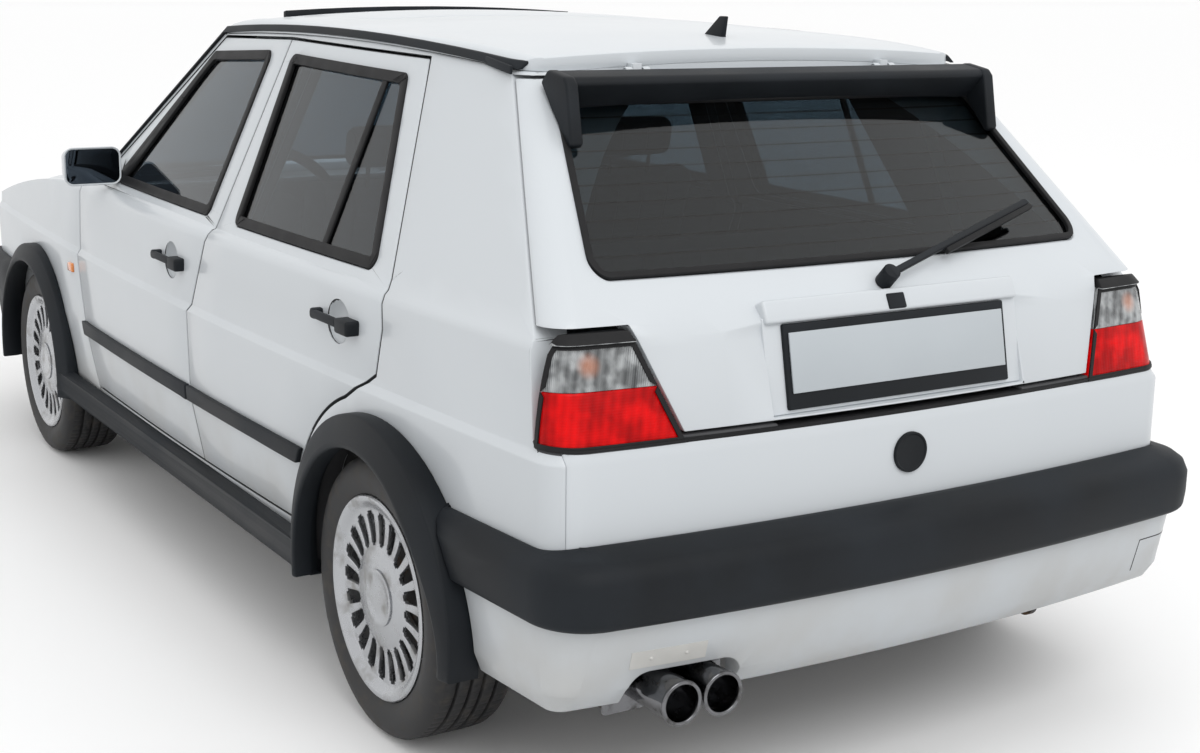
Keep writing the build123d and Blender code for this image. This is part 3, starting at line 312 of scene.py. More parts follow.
for count, (tip_y, tip_z) in enumerate(TIP_PLACES, 1):
    bpy.ops.object.select_all(action="DESELECT")
    bpy.ops.mesh.primitive_torus_add(location=(TIP_LIP_X, tip_y, tip_z), rotation=(0, math.pi / 2, 0),
                                     major_radius=TIP_LIP_RING_R, minor_radius=TIP_LIP_R,
                                     major_segments=64, minor_segments=12)
    lip = bpy.context.active_object
    lip.name = f"exhaust_tip_lip_{count}"
    bpy.ops.object.transform_apply(location=True, rotation=True, scale=True)
    settle(lip, "shell", tip_chrome)

# The tyres are low road tyres with four grooves and cross-cut ribs, worn to a dull grey black
# and dusty on the flanks. One is spun from its profile and copied to the four corners.
WHEEL_X = {"front": 1.205, "rear": -1.270}
SIDES = (("left", 1), ("right", -1))
HALF_TRACK = 0.711
TYRE_R = 0.288
TREAD_STEPS = 90
RIB_R = 0.2866
CUT_WIDTH = 0.0016
CUT_DEPTH = 0.0014
TREAD_LOW_R = 0.2845
TREAD_HALF_W = 0.0715
HALF_PROFILE = [(0.077, 0.2005), (0.077, 0.2095), (0.084, 0.2105), (0.0905, 0.226),
                (0.0945, 0.246), (0.092, 0.262), (0.0865, 0.2745), (0.078, 0.2822),
                (0.071, 0.2846), (0.047, 0.2862), (0.046, 0.2795), (0.0405, 0.2795),
                (0.0395, RIB_R), (0.017, RIB_R), (0.016, 0.2798), (0.0105, 0.2798),
                (0.0095, RIB_R)]
road_rubber, shader, place = new_finish("road_rubber")
dusty = place.noise(34, 6).ramp(0.45, 0.75)
dusty.blend((0.018, 0.018, 0.019, 1), (0.06, 0.055, 0.05, 1)).into(shader, "Base Color")
(0.62 + dusty * 0.28).into(shader, "Roughness")
place.noise(700, 2).bump(0.2, 0.0008).into(shader, "Normal")


def draw_line(points):
    """Edges drawn from point to point, all selected, with the mesh left open for editing."""
    bpy.ops.object.select_all(action="DESELECT")
    bpy.ops.mesh.primitive_plane_add(size=0.01, location=(0, 0, 0))
    bpy.ops.object.mode_set(mode="EDIT")
    bpy.ops.mesh.select_mode(type="VERT")
    bpy.ops.mesh.select_all(action="SELECT")
    bpy.ops.mesh.merge(type="CENTER")
    bpy.ops.transform.translate(value=points[0])
    for here, there in zip(points, points[1:]):
        step = tuple(b - a for a, b in zip(here, there))
        bpy.ops.mesh.extrude_region_move(TRANSFORM_OT_translate={"value": step})
    bpy.ops.mesh.select_all(action="SELECT")
    return bpy.context.active_object


def spun_wall(outline, steps):
    """A wall of (outward, radius) points spun about the wheel's axle."""
    wall = draw_line([(0, y, r) for y, r in outline])
    bpy.ops.mesh.remove_doubles(threshold=0.00001)
    bpy.ops.mesh.select_all(action="SELECT")
    bpy.ops.mesh.spin(steps=steps, angle=2 * math.pi, center=(0, 0, 0), axis=(0, 1, 0))
    bpy.ops.mesh.select_all(action="SELECT")
    bpy.ops.mesh.remove_doubles(threshold=0.00001)
    bpy.ops.mesh.normals_make_consistent(inside=False)
    bpy.ops.object.mode_set(mode="OBJECT")
    return wall


def select_faces(piece, wanted):
    """Selects the faces whose centre and normal pass the test."""
    for face in piece.data.polygons:
        face.select = wanted(face.center, face.normal)
    for edge in piece.data.edges:
        edge.select = False
    for corner in piece.data.vertices:
        corner.select = False
    for face in piece.data.polygons:
        if face.select:
            for index in face.vertices:
                piece.data.vertices[index].select = True


def inset_faces(piece, wanted, *steps, each=False):
    """Steps the faces that pass the test inward by (width, depth) pairs."""
    select_only(piece)
    select_faces(piece, wanted)
    bpy.ops.object.mode_set(mode="EDIT")
    bpy.ops.mesh.select_mode(type="FACE")
    for width, depth in steps:
        bpy.ops.mesh.inset(thickness=width, depth=depth, use_individual=each)
    bpy.ops.object.mode_set(mode="OBJECT")


other_half = [(-y, r) for y, r in reversed(HALF_PROFILE)]
tyre = spun_wall(HALF_PROFILE + other_half + [HALF_PROFILE[0]], TREAD_STEPS)
inset_faces(tyre, lambda at, out: math.hypot(at.x, at.z) > TREAD_LOW_R and abs(at.y) < TREAD_HALF_W,
            (CUT_WIDTH, CUT_DEPTH), each=True)

# The wheels are cast alloy: a face almost flush with the lip, twenty slots round a flat hub, a
# plain centre cap and a brake disc showing dark through the slots. Face, lip and barrel are one
# spun wall, with the slots cut out of it.
silver_alloy, shader, place = new_finish("silver_alloy")
grime = place.noise(26, 5).ramp(0.5, 0.8)
grime.blend((0.45, 0.46, 0.478, 1), (0.29, 0.285, 0.275, 1)).into(shader, "Base Color")
(0.26 + grime * 0.3).into(shader, "Roughness")
(0.85 - grime * 0.4).into(shader, "Metallic")
place.noise(500, 2).bump(0.06, 0.0006).into(shader, "Normal")
SLOT_COUNT = 20
STEPS_PER_SLOT = 8
SLOT_R = (0.1055, 0.1110, 0.1685, 0.1745)
SLOT_HALF_TURN = math.radians(5.0)
SLOT_END_HALF_TURN = math.radians(3.0)
FACE_WALL = 0.009
RIM_PROFILE = [(0.0790, 0.0), (0.0790, 0.0930), (0.0765, 0.0990), (0.0752, SLOT_R[0]),
               (0.0748, SLOT_R[1]), (0.0738, 0.125), (0.0736, 0.140), (0.0742, 0.155),
               (0.0752, SLOT_R[2]), (0.0758, SLOT_R[3]), (0.0765, 0.1800), (0.0800, 0.1850),
               (0.0872, 0.1945), (0.0895, 0.2015), (0.0893, 0.2060), (0.0865, 0.2085),
               (0.0805, 0.2085), (0.0790, 0.1990), (-0.0780, 0.1990), (-0.0800, 0.2045),
               (-0.0860, 0.2045), (-0.0860, 0.1900)]
CAP_R = 0.058
CAP_T = 0.004
CAP_MID = 0.081
DISC_R = 0.128
DISC_T = 0.011
DISC_MID = -0.014
ACROSS = (math.pi / 2, 0, 0)


def copy_piece(piece, name, move=(0, 0, 0), turn_z=0.0):
    """A copy with its own mesh, turned about its origin and moved, with its place in its mesh."""
    select_only(piece)
    bpy.ops.object.duplicate()
    twin = bpy.context.active_object
    twin.name = name
    twin.data.transform(Matrix.Translation(move) @ Matrix.Rotation(turn_z, 4, "Z"))
    return twin


def drop_faces(piece, unwanted):
    """Deletes the faces whose centre and normal pass the test."""
    select_only(piece)
    select_faces(piece, unwanted)
    bpy.ops.object.mode_set(mode="EDIT")
    bpy.ops.mesh.select_mode(type="FACE")
    bpy.ops.mesh.delete(type="FACE")
    bpy.ops.object.mode_set(mode="OBJECT")


def flat_disc(radius, depth, at, turn, sides):
    bpy.ops.object.select_all(action="DESELECT")
    bpy.ops.mesh.primitive_cylinder_add(vertices=sides, radius=radius, depth=depth, location=at,
                                        rotation=turn)
    bpy.ops.object.transform_apply(location=True, rotation=True, scale=True)
    return bpy.context.active_object


def in_slot(at, out):
    radius = math.hypot(at.x, at.z)
    if at.y < 0 or not SLOT_R[0] < radius < SLOT_R[3]:
        return False
    pitch = 2 * math.pi / SLOT_COUNT
    turn = math.atan2(at.z, at.x) - pitch / STEPS_PER_SLOT / 2
    turn = abs((turn + pitch / 2) % pitch - pitch / 2)
    return turn < (SLOT_HALF_TURN if SLOT_R[1] < radius < SLOT_R[2] else SLOT_END_HALF_TURN)


alloy = spun_wall(RIM_PROFILE, SLOT_COUNT * STEPS_PER_SLOT)
drop_faces(alloy, in_slot)
apply_modifier(alloy, "SOLIDIFY", thickness=FACE_WALL, offset=-1)
round_edges(alloy, 0.0014, 2, 50)
cap = flat_disc(CAP_R, CAP_T, (0, CAP_MID, 0), ACROSS, 64)
inset_faces(cap, lambda at, out: out.y > 0.9, (0.009, 0.0), (0.003, -0.0015), (0.02, 0.0012))
round_edges(cap, 0.0008)
disc = flat_disc(DISC_R, DISC_T, (0, DISC_MID, 0), ACROSS, 72)
inset_faces(disc, lambda at, out: abs(out.y) > 0.9, (0.05, 0.0), (0.002, -0.003))
for end, wheel_x in WHEEL_X.items():
    for word, side in SIDES:
        corner = f"{end}_{word}"
        hub = (wheel_x, side * HALF_TRACK, TYRE_R)
        half_turn = 0.0 if side > 0 else math.pi
        worn_tyre = copy_piece(tyre, f"road_tyre_{corner}", hub, half_turn)
        settle(worn_tyre, f"wheel_{corner}", road_rubber, 50)
        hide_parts(f"tyre_{corner}")
        rim = copy_piece(alloy, f"alloy_rim_{corner}", hub, half_turn)
        settle(rim, f"wheel_{corner}", silver_alloy, 30)
        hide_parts(f"rim_{corner}")
        centre_cap = copy_piece(cap, f"wheel_cap_{corner}", hub, half_turn)
        settle(centre_cap, f"wheel_{corner}", silver_alloy)
        brake = copy_piece(disc, f"brake_disc_{corner}", hub, half_turn)
        settle(brake, f"knuckle_{word}" if end == "front" else "shell", cast_iron)
for pattern in (tyre, alloy, cap, disc):
    bpy.data.objects.remove(pattern)

# The shell panels are pressed steel in cool white paint: sides with sills and pillars, front
# fenders, roof, bonnet, doors, tailgate, rear panel and the valance under the bumper.
white_paint, shader, place = new_finish("white_paint", Coat_Weight=0.3, Coat_Roughness=0.06)
height = place.axis("Z")
road_dirt = height.ramp(0.62, 0.24) * place.noise(5, 6).ramp(0.3, 0.7)
tone = place.noise(1.6, 3).blend((0.60, 0.635, 0.665, 1), (0.635, 0.668, 0.695, 1))
(road_dirt * 0.45).blend(tone, (0.50, 0.475, 0.43, 1)).into(shader, "Base Color")
(0.3 + place.noise(8, 4) * 0.1 + road_dirt * 0.25).into(shader, "Roughness")
place.noise(420, 2).bump(0.05, 0.0004).into(shader, "Normal")
PAINTED = [("body_sides", "shell", 0.0025), ("front_fenders", "shell", 0.0025),
           ("roof_panel", "shell", 0.002), ("sunroof_panel", "shell", 0.0025),
           ("rear_panel", "shell", 0.002), ("rear_valance", "shell", 0.003),
           ("hinges", "shell", 0.001), ("bonnet", "bonnet", 0.003), ("tailgate", "tailgate", 0.0025)]
for door in ("door_front_left", "door_front_right", "door_rear_left", "door_rear_right"):
    PAINTED.append((door, door, 0.0025))
# Dark cabin lining covers the panels' inner faces in the cabin. The same dark colour on the door edges,
# the jambs and the strip under the tailgate is painted shade in the gaps.
lining_and_gap_shade, shader, place = new_finish("cabin_lining_and_gap_shade")
place.noise(5, 4).blend((0.045, 0.046, 0.05, 1), (0.075, 0.076, 0.08, 1)).into(shader, "Base Color")
(0.75 + place.noise(40) * 0.2).into(shader, "Roughness")
place.noise(600, 2).bump(0.3, 0.001).into(shader, "Normal")
CABIN_LOW = Vector((-1.85, -0.80, 0.34))
CABIN_HIGH = Vector((0.72, 0.80, 1.40))
CUP_SIZE = (0.050, 0.016, 0.046)
SEAM_X = (-1.30, 0.73)
CUPS = {"door_front": (-0.115, 0.808, 0.803), "door_rear": (-1.073, 0.783, 0.815)}
LEDGE_Z = 0.896
LEDGE_DEPTH = 0.02
LEDGE_SLACK = 0.003
GATE_GAP_X = -1.8
GATE_GAP_Z = (0.715, 0.735)
panels = {}
for node, body, edge in PAINTED:
    panel = copy_solid(node, f"{node}_panel")
    if node == "tailgate":
        # The step under the glass is closed to a soft crease.
        corners = panel.data.vertices
        level = [corner.index for corner in corners if abs(corner.co.z - LEDGE_Z) < LEDGE_SLACK]
        lip = {index for face in panel.data.polygons if face.normal.z > 0.5 and face.normal.x < -0.4
               for index in face.vertices if index in level}
        for outer in (corners[index].co for index in lip):
            for inner in (corners[index].co for index in level if index not in lip):
                if abs(inner.y - outer.y) < LEDGE_SLACK and 0 < inner.x - outer.x < LEDGE_DEPTH:
                    outer.x = inner.x
        bpy.ops.object.mode_set(mode="EDIT")
        bpy.ops.mesh.select_all(action="SELECT")
        bpy.ops.mesh.remove_doubles(threshold=0.0004)
        bpy.ops.object.mode_set(mode="OBJECT")
    round_edges(panel, edge)
    side = -1 if node.endswith("right") else 1
    for door, (cup_x, cup_y, cup_z) in CUPS.items():
        if node.startswith(door):
            bpy.ops.object.select_all(action="DESELECT")
            bpy.ops.mesh.primitive_uv_sphere_add(segments=48, ring_count=24, radius=1, scale=CUP_SIZE,
                                                 location=(cup_x, side * cup_y, cup_z))
            dish = bpy.context.active_object
            apply_modifier(panel, "BOOLEAN", operation="DIFFERENCE", object=dish, solver="EXACT")
            bpy.data.objects.remove(dish)
    settle(panel, body, white_paint, 30)
    panel.data.materials.append(lining_and_gap_shade)
    for face in panel.data.polygons:
        at, out = face.center, face.normal
        within = all(low < value < high for low, value, high in zip(CABIN_LOW, at, CABIN_HIGH))
        # Door edges, jambs and the strip under the tailgate take the lining's dark colour as painted
        # shade in the gaps.
        in_gap = "door" in node or node == "body_sides"
        in_gap = in_gap and abs(out.y) < 0.2 and SEAM_X[0] < at.x < SEAM_X[1]
        under_gate = at.x < GATE_GAP_X and GATE_GAP_Z[0] < at.z < GATE_GAP_Z[1]
        in_gap = in_gap or node == "body_sides" and under_gate
        if in_gap or within and (out.y * at.y < -0.35 or out.z < -0.6 or out.x > 0.6 and at.x < -1.3):
            face.material_index = 1
    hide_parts(node)
    panels[node] = panel

# The charcoal plastic is one grained moulding compound: bumpers, wheel arch flares with the
# sill skirts, front spoiler, grille, gutter strips and the rest of the outer trim.
grained_plastic, shader, place = new_finish("grained_plastic", Specular_IOR_Level=0.22)
faded = place.noise(4, 5).ramp(0.35, 0.75)
faded.blend((0.0055, 0.0072, 0.0095, 1), (0.014, 0.0175, 0.022, 1)).into(shader, "Base Color")
(0.5 + faded * 0.14).into(shader, "Roughness")
(place.noise(900, 2) + place.noise(260, 2) * 0.6).bump(0.22, 0.0007).into(shader, "Normal")
TRIM = [("rear_bumper", 0.006), ("front_bumper", 0.006), ("arch_flares", 0.004),
        ("front_spoiler", 0.004), ("roof_trim", 0.002), ("grille", 0.002)]
AERIAL_HALF_W = 0.03
AERIAL_X = -1.2
LEG_HUB = (-1.270, 0.288)
LEG_R = (0.318, 0.374)
LEG_TURN = (math.radians(50), math.radians(-9))
LEG_BACK = 0.028
LEG_IN = 0.015
for node, edge in TRIM:
    moulding = copy_solid(node, f"{node}_moulding")
    if node == "arch_flares":
        # The rear legs sweep back and in towards the bumper.
        for corner in moulding.data.vertices:
            back, up = LEG_HUB[0] - corner.co.x, corner.co.z - LEG_HUB[1]
            fade = min(1, (LEG_R[1] - math.hypot(back, up)) / (LEG_R[1] - LEG_R[0]))
            if back > 0 and fade > 0:
                share = (LEG_TURN[0] - math.atan2(up, back)) / (LEG_TURN[0] - LEG_TURN[1])
                share = min(1, max(0, share))
                share = share * share * (3 - 2 * share) * fade
                corner.co.x -= LEG_BACK * share
                corner.co.y -= math.copysign(LEG_IN * share, corner.co.y)
    if node == "roof_trim":
        drop_faces(moulding, lambda at, out: abs(at.y) < AERIAL_HALF_W and at.x < AERIAL_X)
    round_edges(moulding, edge)
    settle(moulding, "shell", grained_plastic)
    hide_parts(node)

# The windows are tinted glass set in black rubber: a strip follows each pane's edge and stands
# a little proud of the glass, as the pressed-in seals do. The rear pane carries heater wires.
CLEAR_GLASS = {"Roughness": 0.012, "Transmission_Weight": 1.0, "IOR": 1.45}
tinted_glass, shader, place = new_finish("tinted_glass", **CLEAR_GLASS)
place.noise(3, 3).blend((0.115, 0.160, 0.195, 1), (0.150, 0.195, 0.230, 1)).into(shader, "Base Color")
WIRE_PITCH = 0.028
heated_glass, shader, place = new_finish("heated_glass", **CLEAR_GLASS)
wires = place.axis("Z").wave(WIRE_PITCH).ramp(0.93, 0.97)
wires.blend((0.165, 0.205, 0.225, 1), (0.05, 0.035, 0.025, 1)).into(shader, "Base Color")
seal_rubber, shader, place = new_finish("seal_rubber", Specular_IOR_Level=0.25)
place.noise(60, 4).blend((0.006, 0.006, 0.0068, 1), (0.012, 0.012, 0.013, 1)).into(shader, "Base Color")
(0.45 + place.noise(20) * 0.2).into(shader, "Roughness")
SEAL_T = 0.0095
DIVIDER_X = (-0.935, -0.913)
DIVIDER_T = 0.006
SAIL_POINT = (0.462, 0, 0.900)
BEHIND_SAIL = (-0.70, 0, -0.714)
PANES = [("windscreen", "shell", (1, 0, 0), 0.022),
         ("tailgate_glass", "tailgate", (-1, 0, 0), 0.013)]
for end in ("front", "rear"):
    PANES.append((f"door_{end}_glass_left", f"door_{end}_left", (0, 1, 0), 0.024))
    PANES.append((f"door_{end}_glass_right", f"door_{end}_right", (0, -1, 0), 0.024))


def outer_skin(piece, name, wanted):
    """A copy that keeps only the faces that pass the test."""
    skin = copy_piece(piece, name)
    drop_faces(skin, lambda at, out: not wanted(at, out))
    return skin


def edge_strip(piece, name, wanted, width):
    """A flat strip of one width along the outline of the faces that pass the test."""
    strip = outer_skin(piece, name, wanted)
    bpy.ops.object.mode_set(mode="EDIT")
    bpy.ops.mesh.select_all(action="SELECT")
    bpy.ops.mesh.inset(thickness=width, use_even_offset=True)
    bpy.ops.mesh.delete(type="FACE")
    bpy.ops.object.mode_set(mode="OBJECT")
    return strip


def trim_sheet(sheet, planes):
    """Cuts an open sheet back to the inner side of each plane, given as a point and the way out."""
    select_only(sheet)
    bpy.ops.object.mode_set(mode="EDIT")
    for point, away in planes:
        bpy.ops.mesh.select_all(action="SELECT")
        bpy.ops.mesh.bisect(plane_co=point, plane_no=away, clear_outer=True)
    bpy.ops.object.mode_set(mode="OBJECT")


def rubber_strip(strip, body, thick, edge):
    apply_modifier(strip, "SOLIDIFY", thickness=thick, offset=1)
    round_edges(strip, edge)
    settle(strip, body, seal_rubber)


for node, body, outward, seal_w in PANES:
    pane = copy_solid(node, f"{node}_pane")
    facing = Vector(outward)
    on_face = lambda at, out: out.dot(facing) > 0.35
    strip = edge_strip(pane, f"{node}_seal", on_face, seal_w)
    rubber_strip(strip, body, SEAL_T, 0.002)
    if node.startswith("door_front"):
        sail = outer_skin(pane, f"{node}_sail", on_face)
        trim_sheet(sail, [(SAIL_POINT, BEHIND_SAIL)])
        rubber_strip(sail, body, SEAL_T, 0.002)
    if node.startswith("door_rear"):
        bar = outer_skin(pane, f"{node}_divider", on_face)
        trim_sheet(bar, [((DIVIDER_X[0], 0, 0), (-1, 0, 0)), ((DIVIDER_X[1], 0, 0), (1, 0, 0))])
        rubber_strip(bar, body, DIVIDER_T, 0.0015)
    settle(pane, body, heated_glass if node == "tailgate_glass" else tinted_glass)
    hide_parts(node)

# The tail lamps are two-storey mouldings in a black gasket: red ribbed lens below, clear ribbed
# lens with an amber bulb behind it above.
LAMP_RIB = 0.0048
LAMP_FACET = 0.021
LAMP_SPLIT_Z = 0.818
SPLIT_SLACK = 0.008
GASKET_W = 0.009
GASKET_T = 0.003
LENS_TOP_Z = 0.899
BULB_AT = (-1.850, 0.660, 0.864)
red_lens, shader, place = new_finish("red_lens", Coat_Weight=0.08, Coat_Roughness=0.03, Roughness=0.3,
                                     Specular_IOR_Level=0.1)
across = place.axis("X") + place.axis("Y")
# The red runs from dark to bright in patches and facets: painted light from the reflector behind the
# lens.
painted_lens_light = place.noise(17, 2).ramp(0.35, 0.68) * 0.75 + across.wave(LAMP_FACET) * 0.25
painted_lens_light.blend((0.34, 0.0, 0.001, 1), (0.84, 0.003, 0.004, 1)).into(shader, "Base Color")
(across.wave(LAMP_RIB) + place.axis("Z").wave(LAMP_RIB)).bump(0.25, 0.001).into(shader, "Normal")
clear_lens, shader, place = new_finish("clear_lens", Coat_Weight=0.4, Coat_Roughness=0.03)
across = place.axis("X") + place.axis("Y")
mirrored = place.make("ShaderNodeVectorMath", {"operation": "ABSOLUTE"}, {0: place})
bulb = mirrored.near((-BULB_AT[0], BULB_AT[1], BULB_AT[2]), 0.008, 0.030)
# The grey from near black to pale silver in cells and facets is painted reflection of the reflector
# behind the lens; the amber spot is the bulb.
cells = place.noise(30, 2).ramp(0.35, 0.7) * 0.7 + across.wave(LAMP_FACET) * 0.3
painted_reflector_glint = cells.blend((0.055, 0.06, 0.063, 1), (0.50, 0.52, 0.53, 1))
(bulb * 0.5).blend(painted_reflector_glint, (0.80, 0.26, 0.10, 1)).into(shader, "Base Color")
(0.14 + across.wave(LAMP_RIB) * 0.12).into(shader, "Roughness")
across.wave(LAMP_RIB).bump(0.6, 0.002).into(shader, "Normal")
LENSES = [("tail_lamps_red", "lamp_red", red_lens), ("tail_lamps_clear", "lamp_clear", clear_lens)]
for node, slot, finish in LENSES:
    lens = copy_solid(node, f"{node}_lens")
    gasket = edge_strip(lens, f"{node}_gasket",
                        lambda at, out: out.x < -0.35 or out.y * at.y > 0.35 * abs(at.y), GASKET_W)
    drop_faces(gasket, lambda at, out: abs(at.z - LAMP_SPLIT_Z) < SPLIT_SLACK or at.z > LENS_TOP_Z)
    apply_modifier(gasket, "SOLIDIFY", thickness=GASKET_T, offset=1)
    settle(gasket, "shell", seal_rubber)
    round_edges(lens, 0.002)
    settle(lens, "shell", finish)
    lens.data.materials.append(seal_rubber)
    for face in lens.data.polygons:
        if face.center.z > LENS_TOP_Z:
            face.material_index = 1
    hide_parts(node)

# The doors carry a rub strip and a pull handle over its cup: a block at the back with the
# latch in it and a thin bar forward. Black plastic, screwed on from behind the skin.
def shaped_box(name, size, at=(0, 0, 0), turn=(0, 0, 0), edge=0.002, segments=3):
    """A block with rounded edges, turned and put in its place."""
    bpy.ops.object.select_all(action="DESELECT")
    bpy.ops.mesh.primitive_cube_add(size=1)
    piece = bpy.context.active_object
    piece.name = name
    piece.scale = size
    bpy.ops.object.transform_apply(scale=True)
    round_edges(piece, edge, segments)
    piece.location = at
    piece.rotation_euler = turn
    bpy.ops.object.transform_apply(location=True, rotation=True, scale=True)
    return piece


def joined(name, *pieces):
    """Several blocks as one piece."""
    select_only(pieces[0])
    for piece in pieces[1:]:
        piece.select_set(True)
    bpy.ops.object.join()
    pieces[0].name = name
    return pieces[0]


TRIM_TOP_Z = 0.70
GRIP_PARTS = [((0.060, 0.034, 0.031), (-0.062, 0.006, 0), 0.006),
              ((0.130, 0.013, 0.018), (0.026, 0.017, 0.004), 0.005),
              ((0.022, 0.032, 0.022), (0.082, 0.006, 0.004), 0.005)]
HANDLES = {"front": (-0.115, 0.810, 0.803), "rear": (-1.073, 0.785, 0.815)}
for word, side in SIDES:
    for end, (grip_x, grip_y, grip_z) in HANDLES.items():
        body = f"door_{end}_{word}"
        trim = copy_solid(f"door_{end}_trim_{word}", f"rub_strip_{end}_{word}")
        cut_away(trim, (0, 0, TRIM_TOP_Z), (0, 0, 1))
        round_edges(trim, 0.004, 3)
        settle(trim, body, grained_plastic)
        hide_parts(f"door_{end}_trim_{word}")
        grip = []
        for size, (along, off, up), edge in GRIP_PARTS:
            at = (grip_x + along, side * (grip_y + off), grip_z + up)
            grip.append(shaped_box("grip_part", size, at, edge=edge))
        settle(joined(f"handle_{end}_{word}", *grip), body, grained_plastic)

# The mirrors are white shells with rounded corners and the glass set in from the rim, on the
# black corner sail of the front windows.
MIRROR_AT = (0.486, 0.830, 0.978)
MIRROR_SIZE = (0.074, 0.158, 0.106)
MIRROR_CORNER = 0.026
MIRROR_NOSE = (1, 0.82, 0.74)
MIRROR_FOOT = (0.060, 0.050, 0.034)
MIRROR_FOOT_AT = (0.486, 0.762, 0.945)
mirror_glass, shader, place = new_finish("mirror_glass", Metallic=1.0, Roughness=0.03)
place.noise(8, 3).blend((0.035, 0.045, 0.06, 1), (0.07, 0.085, 0.10, 1)).into(shader, "Base Color")
for word, side in SIDES:
    bpy.ops.object.select_all(action="DESELECT")
    bpy.ops.mesh.primitive_cube_add(size=1)
    mirror = bpy.context.active_object
    mirror.name = f"mirror_shell_{word}"
    mirror.scale = MIRROR_SIZE
    bpy.ops.object.transform_apply(scale=True)
    bpy.ops.object.mode_set(mode="EDIT")
    bpy.ops.mesh.select_mode(type="EDGE")
    bpy.ops.mesh.select_all(action="DESELECT")
    bpy.ops.object.mode_set(mode="OBJECT")
    for edge in mirror.data.edges:
        ends = [mirror.data.vertices[index].co for index in edge.vertices]
        edge.select = abs(ends[0].x - ends[1].x) > 0.01
    bpy.ops.object.mode_set(mode="EDIT")
    bpy.ops.mesh.bevel(offset=MIRROR_CORNER, segments=6)
    bpy.ops.object.mode_set(mode="OBJECT")
    select_faces(mirror, lambda at, out: out.x > 0.9)
    bpy.ops.object.mode_set(mode="EDIT")
    bpy.ops.mesh.select_mode(type="FACE")
    bpy.ops.transform.resize(value=MIRROR_NOSE)
    bpy.ops.object.mode_set(mode="OBJECT")
    round_edges(mirror, 0.006, 3)
    inset_faces(mirror, lambda at, out: out.x < -0.95, (0.002, -0.004))
    mirror.location = (MIRROR_AT[0], side * MIRROR_AT[1], MIRROR_AT[2])
    bpy.ops.object.transform_apply(location=True, rotation=True, scale=True)
    settle(mirror, f"door_front_{word}", white_paint)
    mirror.data.materials.append(mirror_glass)
    for face in mirror.data.polygons:
        if face.normal.x < -0.99 and face.area > 0.002:
            face.material_index = 1
    foot_at = (MIRROR_FOOT_AT[0], side * MIRROR_FOOT_AT[1], MIRROR_FOOT_AT[2])
    foot = shaped_box(f"mirror_foot_{word}", MIRROR_FOOT, foot_at, edge=0.010)
    settle(foot, f"door_front_{word}", grained_plastic)


# The tailgate carries the moulded spoiler under the roof edge, the wiper on its pivot, a black lock
# square in a white pressed hood, and a blank plate screwed to a black backing, whose wide border is
# partly painted shadow under the hood.
def surface_at(panel, start, way):
    """Where a straight line from a point first meets a panel."""
    bpy.context.view_layer.update()
    return panel.ray_cast(Vector(start), Vector(way))[1]


SPOILER_CUT_Z = 1.20
WIPER_CUT_Z = 0.93
PLATE_SIZE = (0.004, 0.520, 0.110)
PLATE_AT = (-1.8848, 0, 0.8335)
PLATE_LEAN = 0.2047
BACKING_AND_SHADOW_SIZE = (0.010, 0.540, 0.156)
BACKING_AND_SHADOW_AT = (-1.8790, 0, 0.8255)
RECESS_SIZE = (0.020, 0.618, 0.176)
RECESS_AT = (-1.8657, 0, 0.8265)
HOOD_Z = (0.896, 0.940)
HOOD_SPAN = 0.612
HOOD_T = 0.040
HOOD_UPRIGHT = 0.16
HOOD_PROBE = (-2.5, 0.33)
LOCK_SIZE = (0.012, 0.042, 0.030)
plate_blank, shader, place = new_finish("plate_blank", Coat_Weight=0.3)
place.noise(7, 4).blend((0.46, 0.50, 0.53, 1), (0.50, 0.54, 0.57, 1)).into(shader, "Base Color")
(0.32 + place.noise(30) * 0.15).into(shader, "Roughness")
place.noise(900, 2).bump(0.05, 0.0004).into(shader, "Normal")
spoiler = copy_solid("tailgate_trim", "tailgate_spoiler")
cut_away(spoiler, (0, 0, SPOILER_CUT_Z), (0, 0, -1))
round_edges(spoiler, 0.006, 3)
settle(spoiler, "tailgate", grained_plastic)
wiper = copy_solid("tailgate_trim", "rear_wiper")
cut_away(wiper, (0, 0, SPOILER_CUT_Z), (0, 0, 1))
cut_away(wiper, (0, 0, WIPER_CUT_Z), (0, 0, -1))
round_edges(wiper, 0.0025, 2)
settle(wiper, "tailgate", grained_plastic)
plate_frame = copy_solid("tailgate_trim", "plate_frame")
cut_away(plate_frame, (0, 0, WIPER_CUT_Z), (0, 0, 1))
round_edges(plate_frame, 0.003)
settle(plate_frame, "tailgate", grained_plastic)
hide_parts("tailgate_trim")
plate = shaped_box("number_plate", PLATE_SIZE, PLATE_AT, (0, PLATE_LEAN, 0), 0.0012, 2)
settle(plate, "tailgate", plate_blank)
# The backing's black border above and below the plate is partly painted shadow under the hood.
backing_and_shadow = shaped_box("plate_backing_and_shadow", BACKING_AND_SHADOW_SIZE, BACKING_AND_SHADOW_AT, (0, PLATE_LEAN, 0), 0.004)
settle(backing_and_shadow, "tailgate", grained_plastic)
recess = shaped_box("plate_recess", RECESS_SIZE, RECESS_AT, (0, PLATE_LEAN, 0), 0.002)
settle(recess, "tailgate", white_paint)
hood_low, hood_high = (surface_at(panels["tailgate"], (*HOOD_PROBE, z), (1, 0, 0)) for z in HOOD_Z)
hood_lean = math.atan2(hood_high.x - hood_low.x, hood_high.z - hood_low.z) - HOOD_UPRIGHT
hood_mid = (hood_low + hood_high) / 2
hood_size = (HOOD_T, HOOD_SPAN, HOOD_Z[1] - HOOD_Z[0])
hood_at = (hood_mid.x - 0.004, 0, hood_mid.z)
hood = shaped_box("plate_hood", hood_size, hood_at, (0, hood_lean, 0), 0.006, 4)
settle(hood, "tailgate", white_paint)
lock_at = (hood_mid.x - 0.022, 0, hood_mid.z + 0.004)
lock = shaped_box("lock_square", LOCK_SIZE, lock_at, (0, hood_lean, 0), 0.003)
settle(lock, "tailgate", grained_plastic)

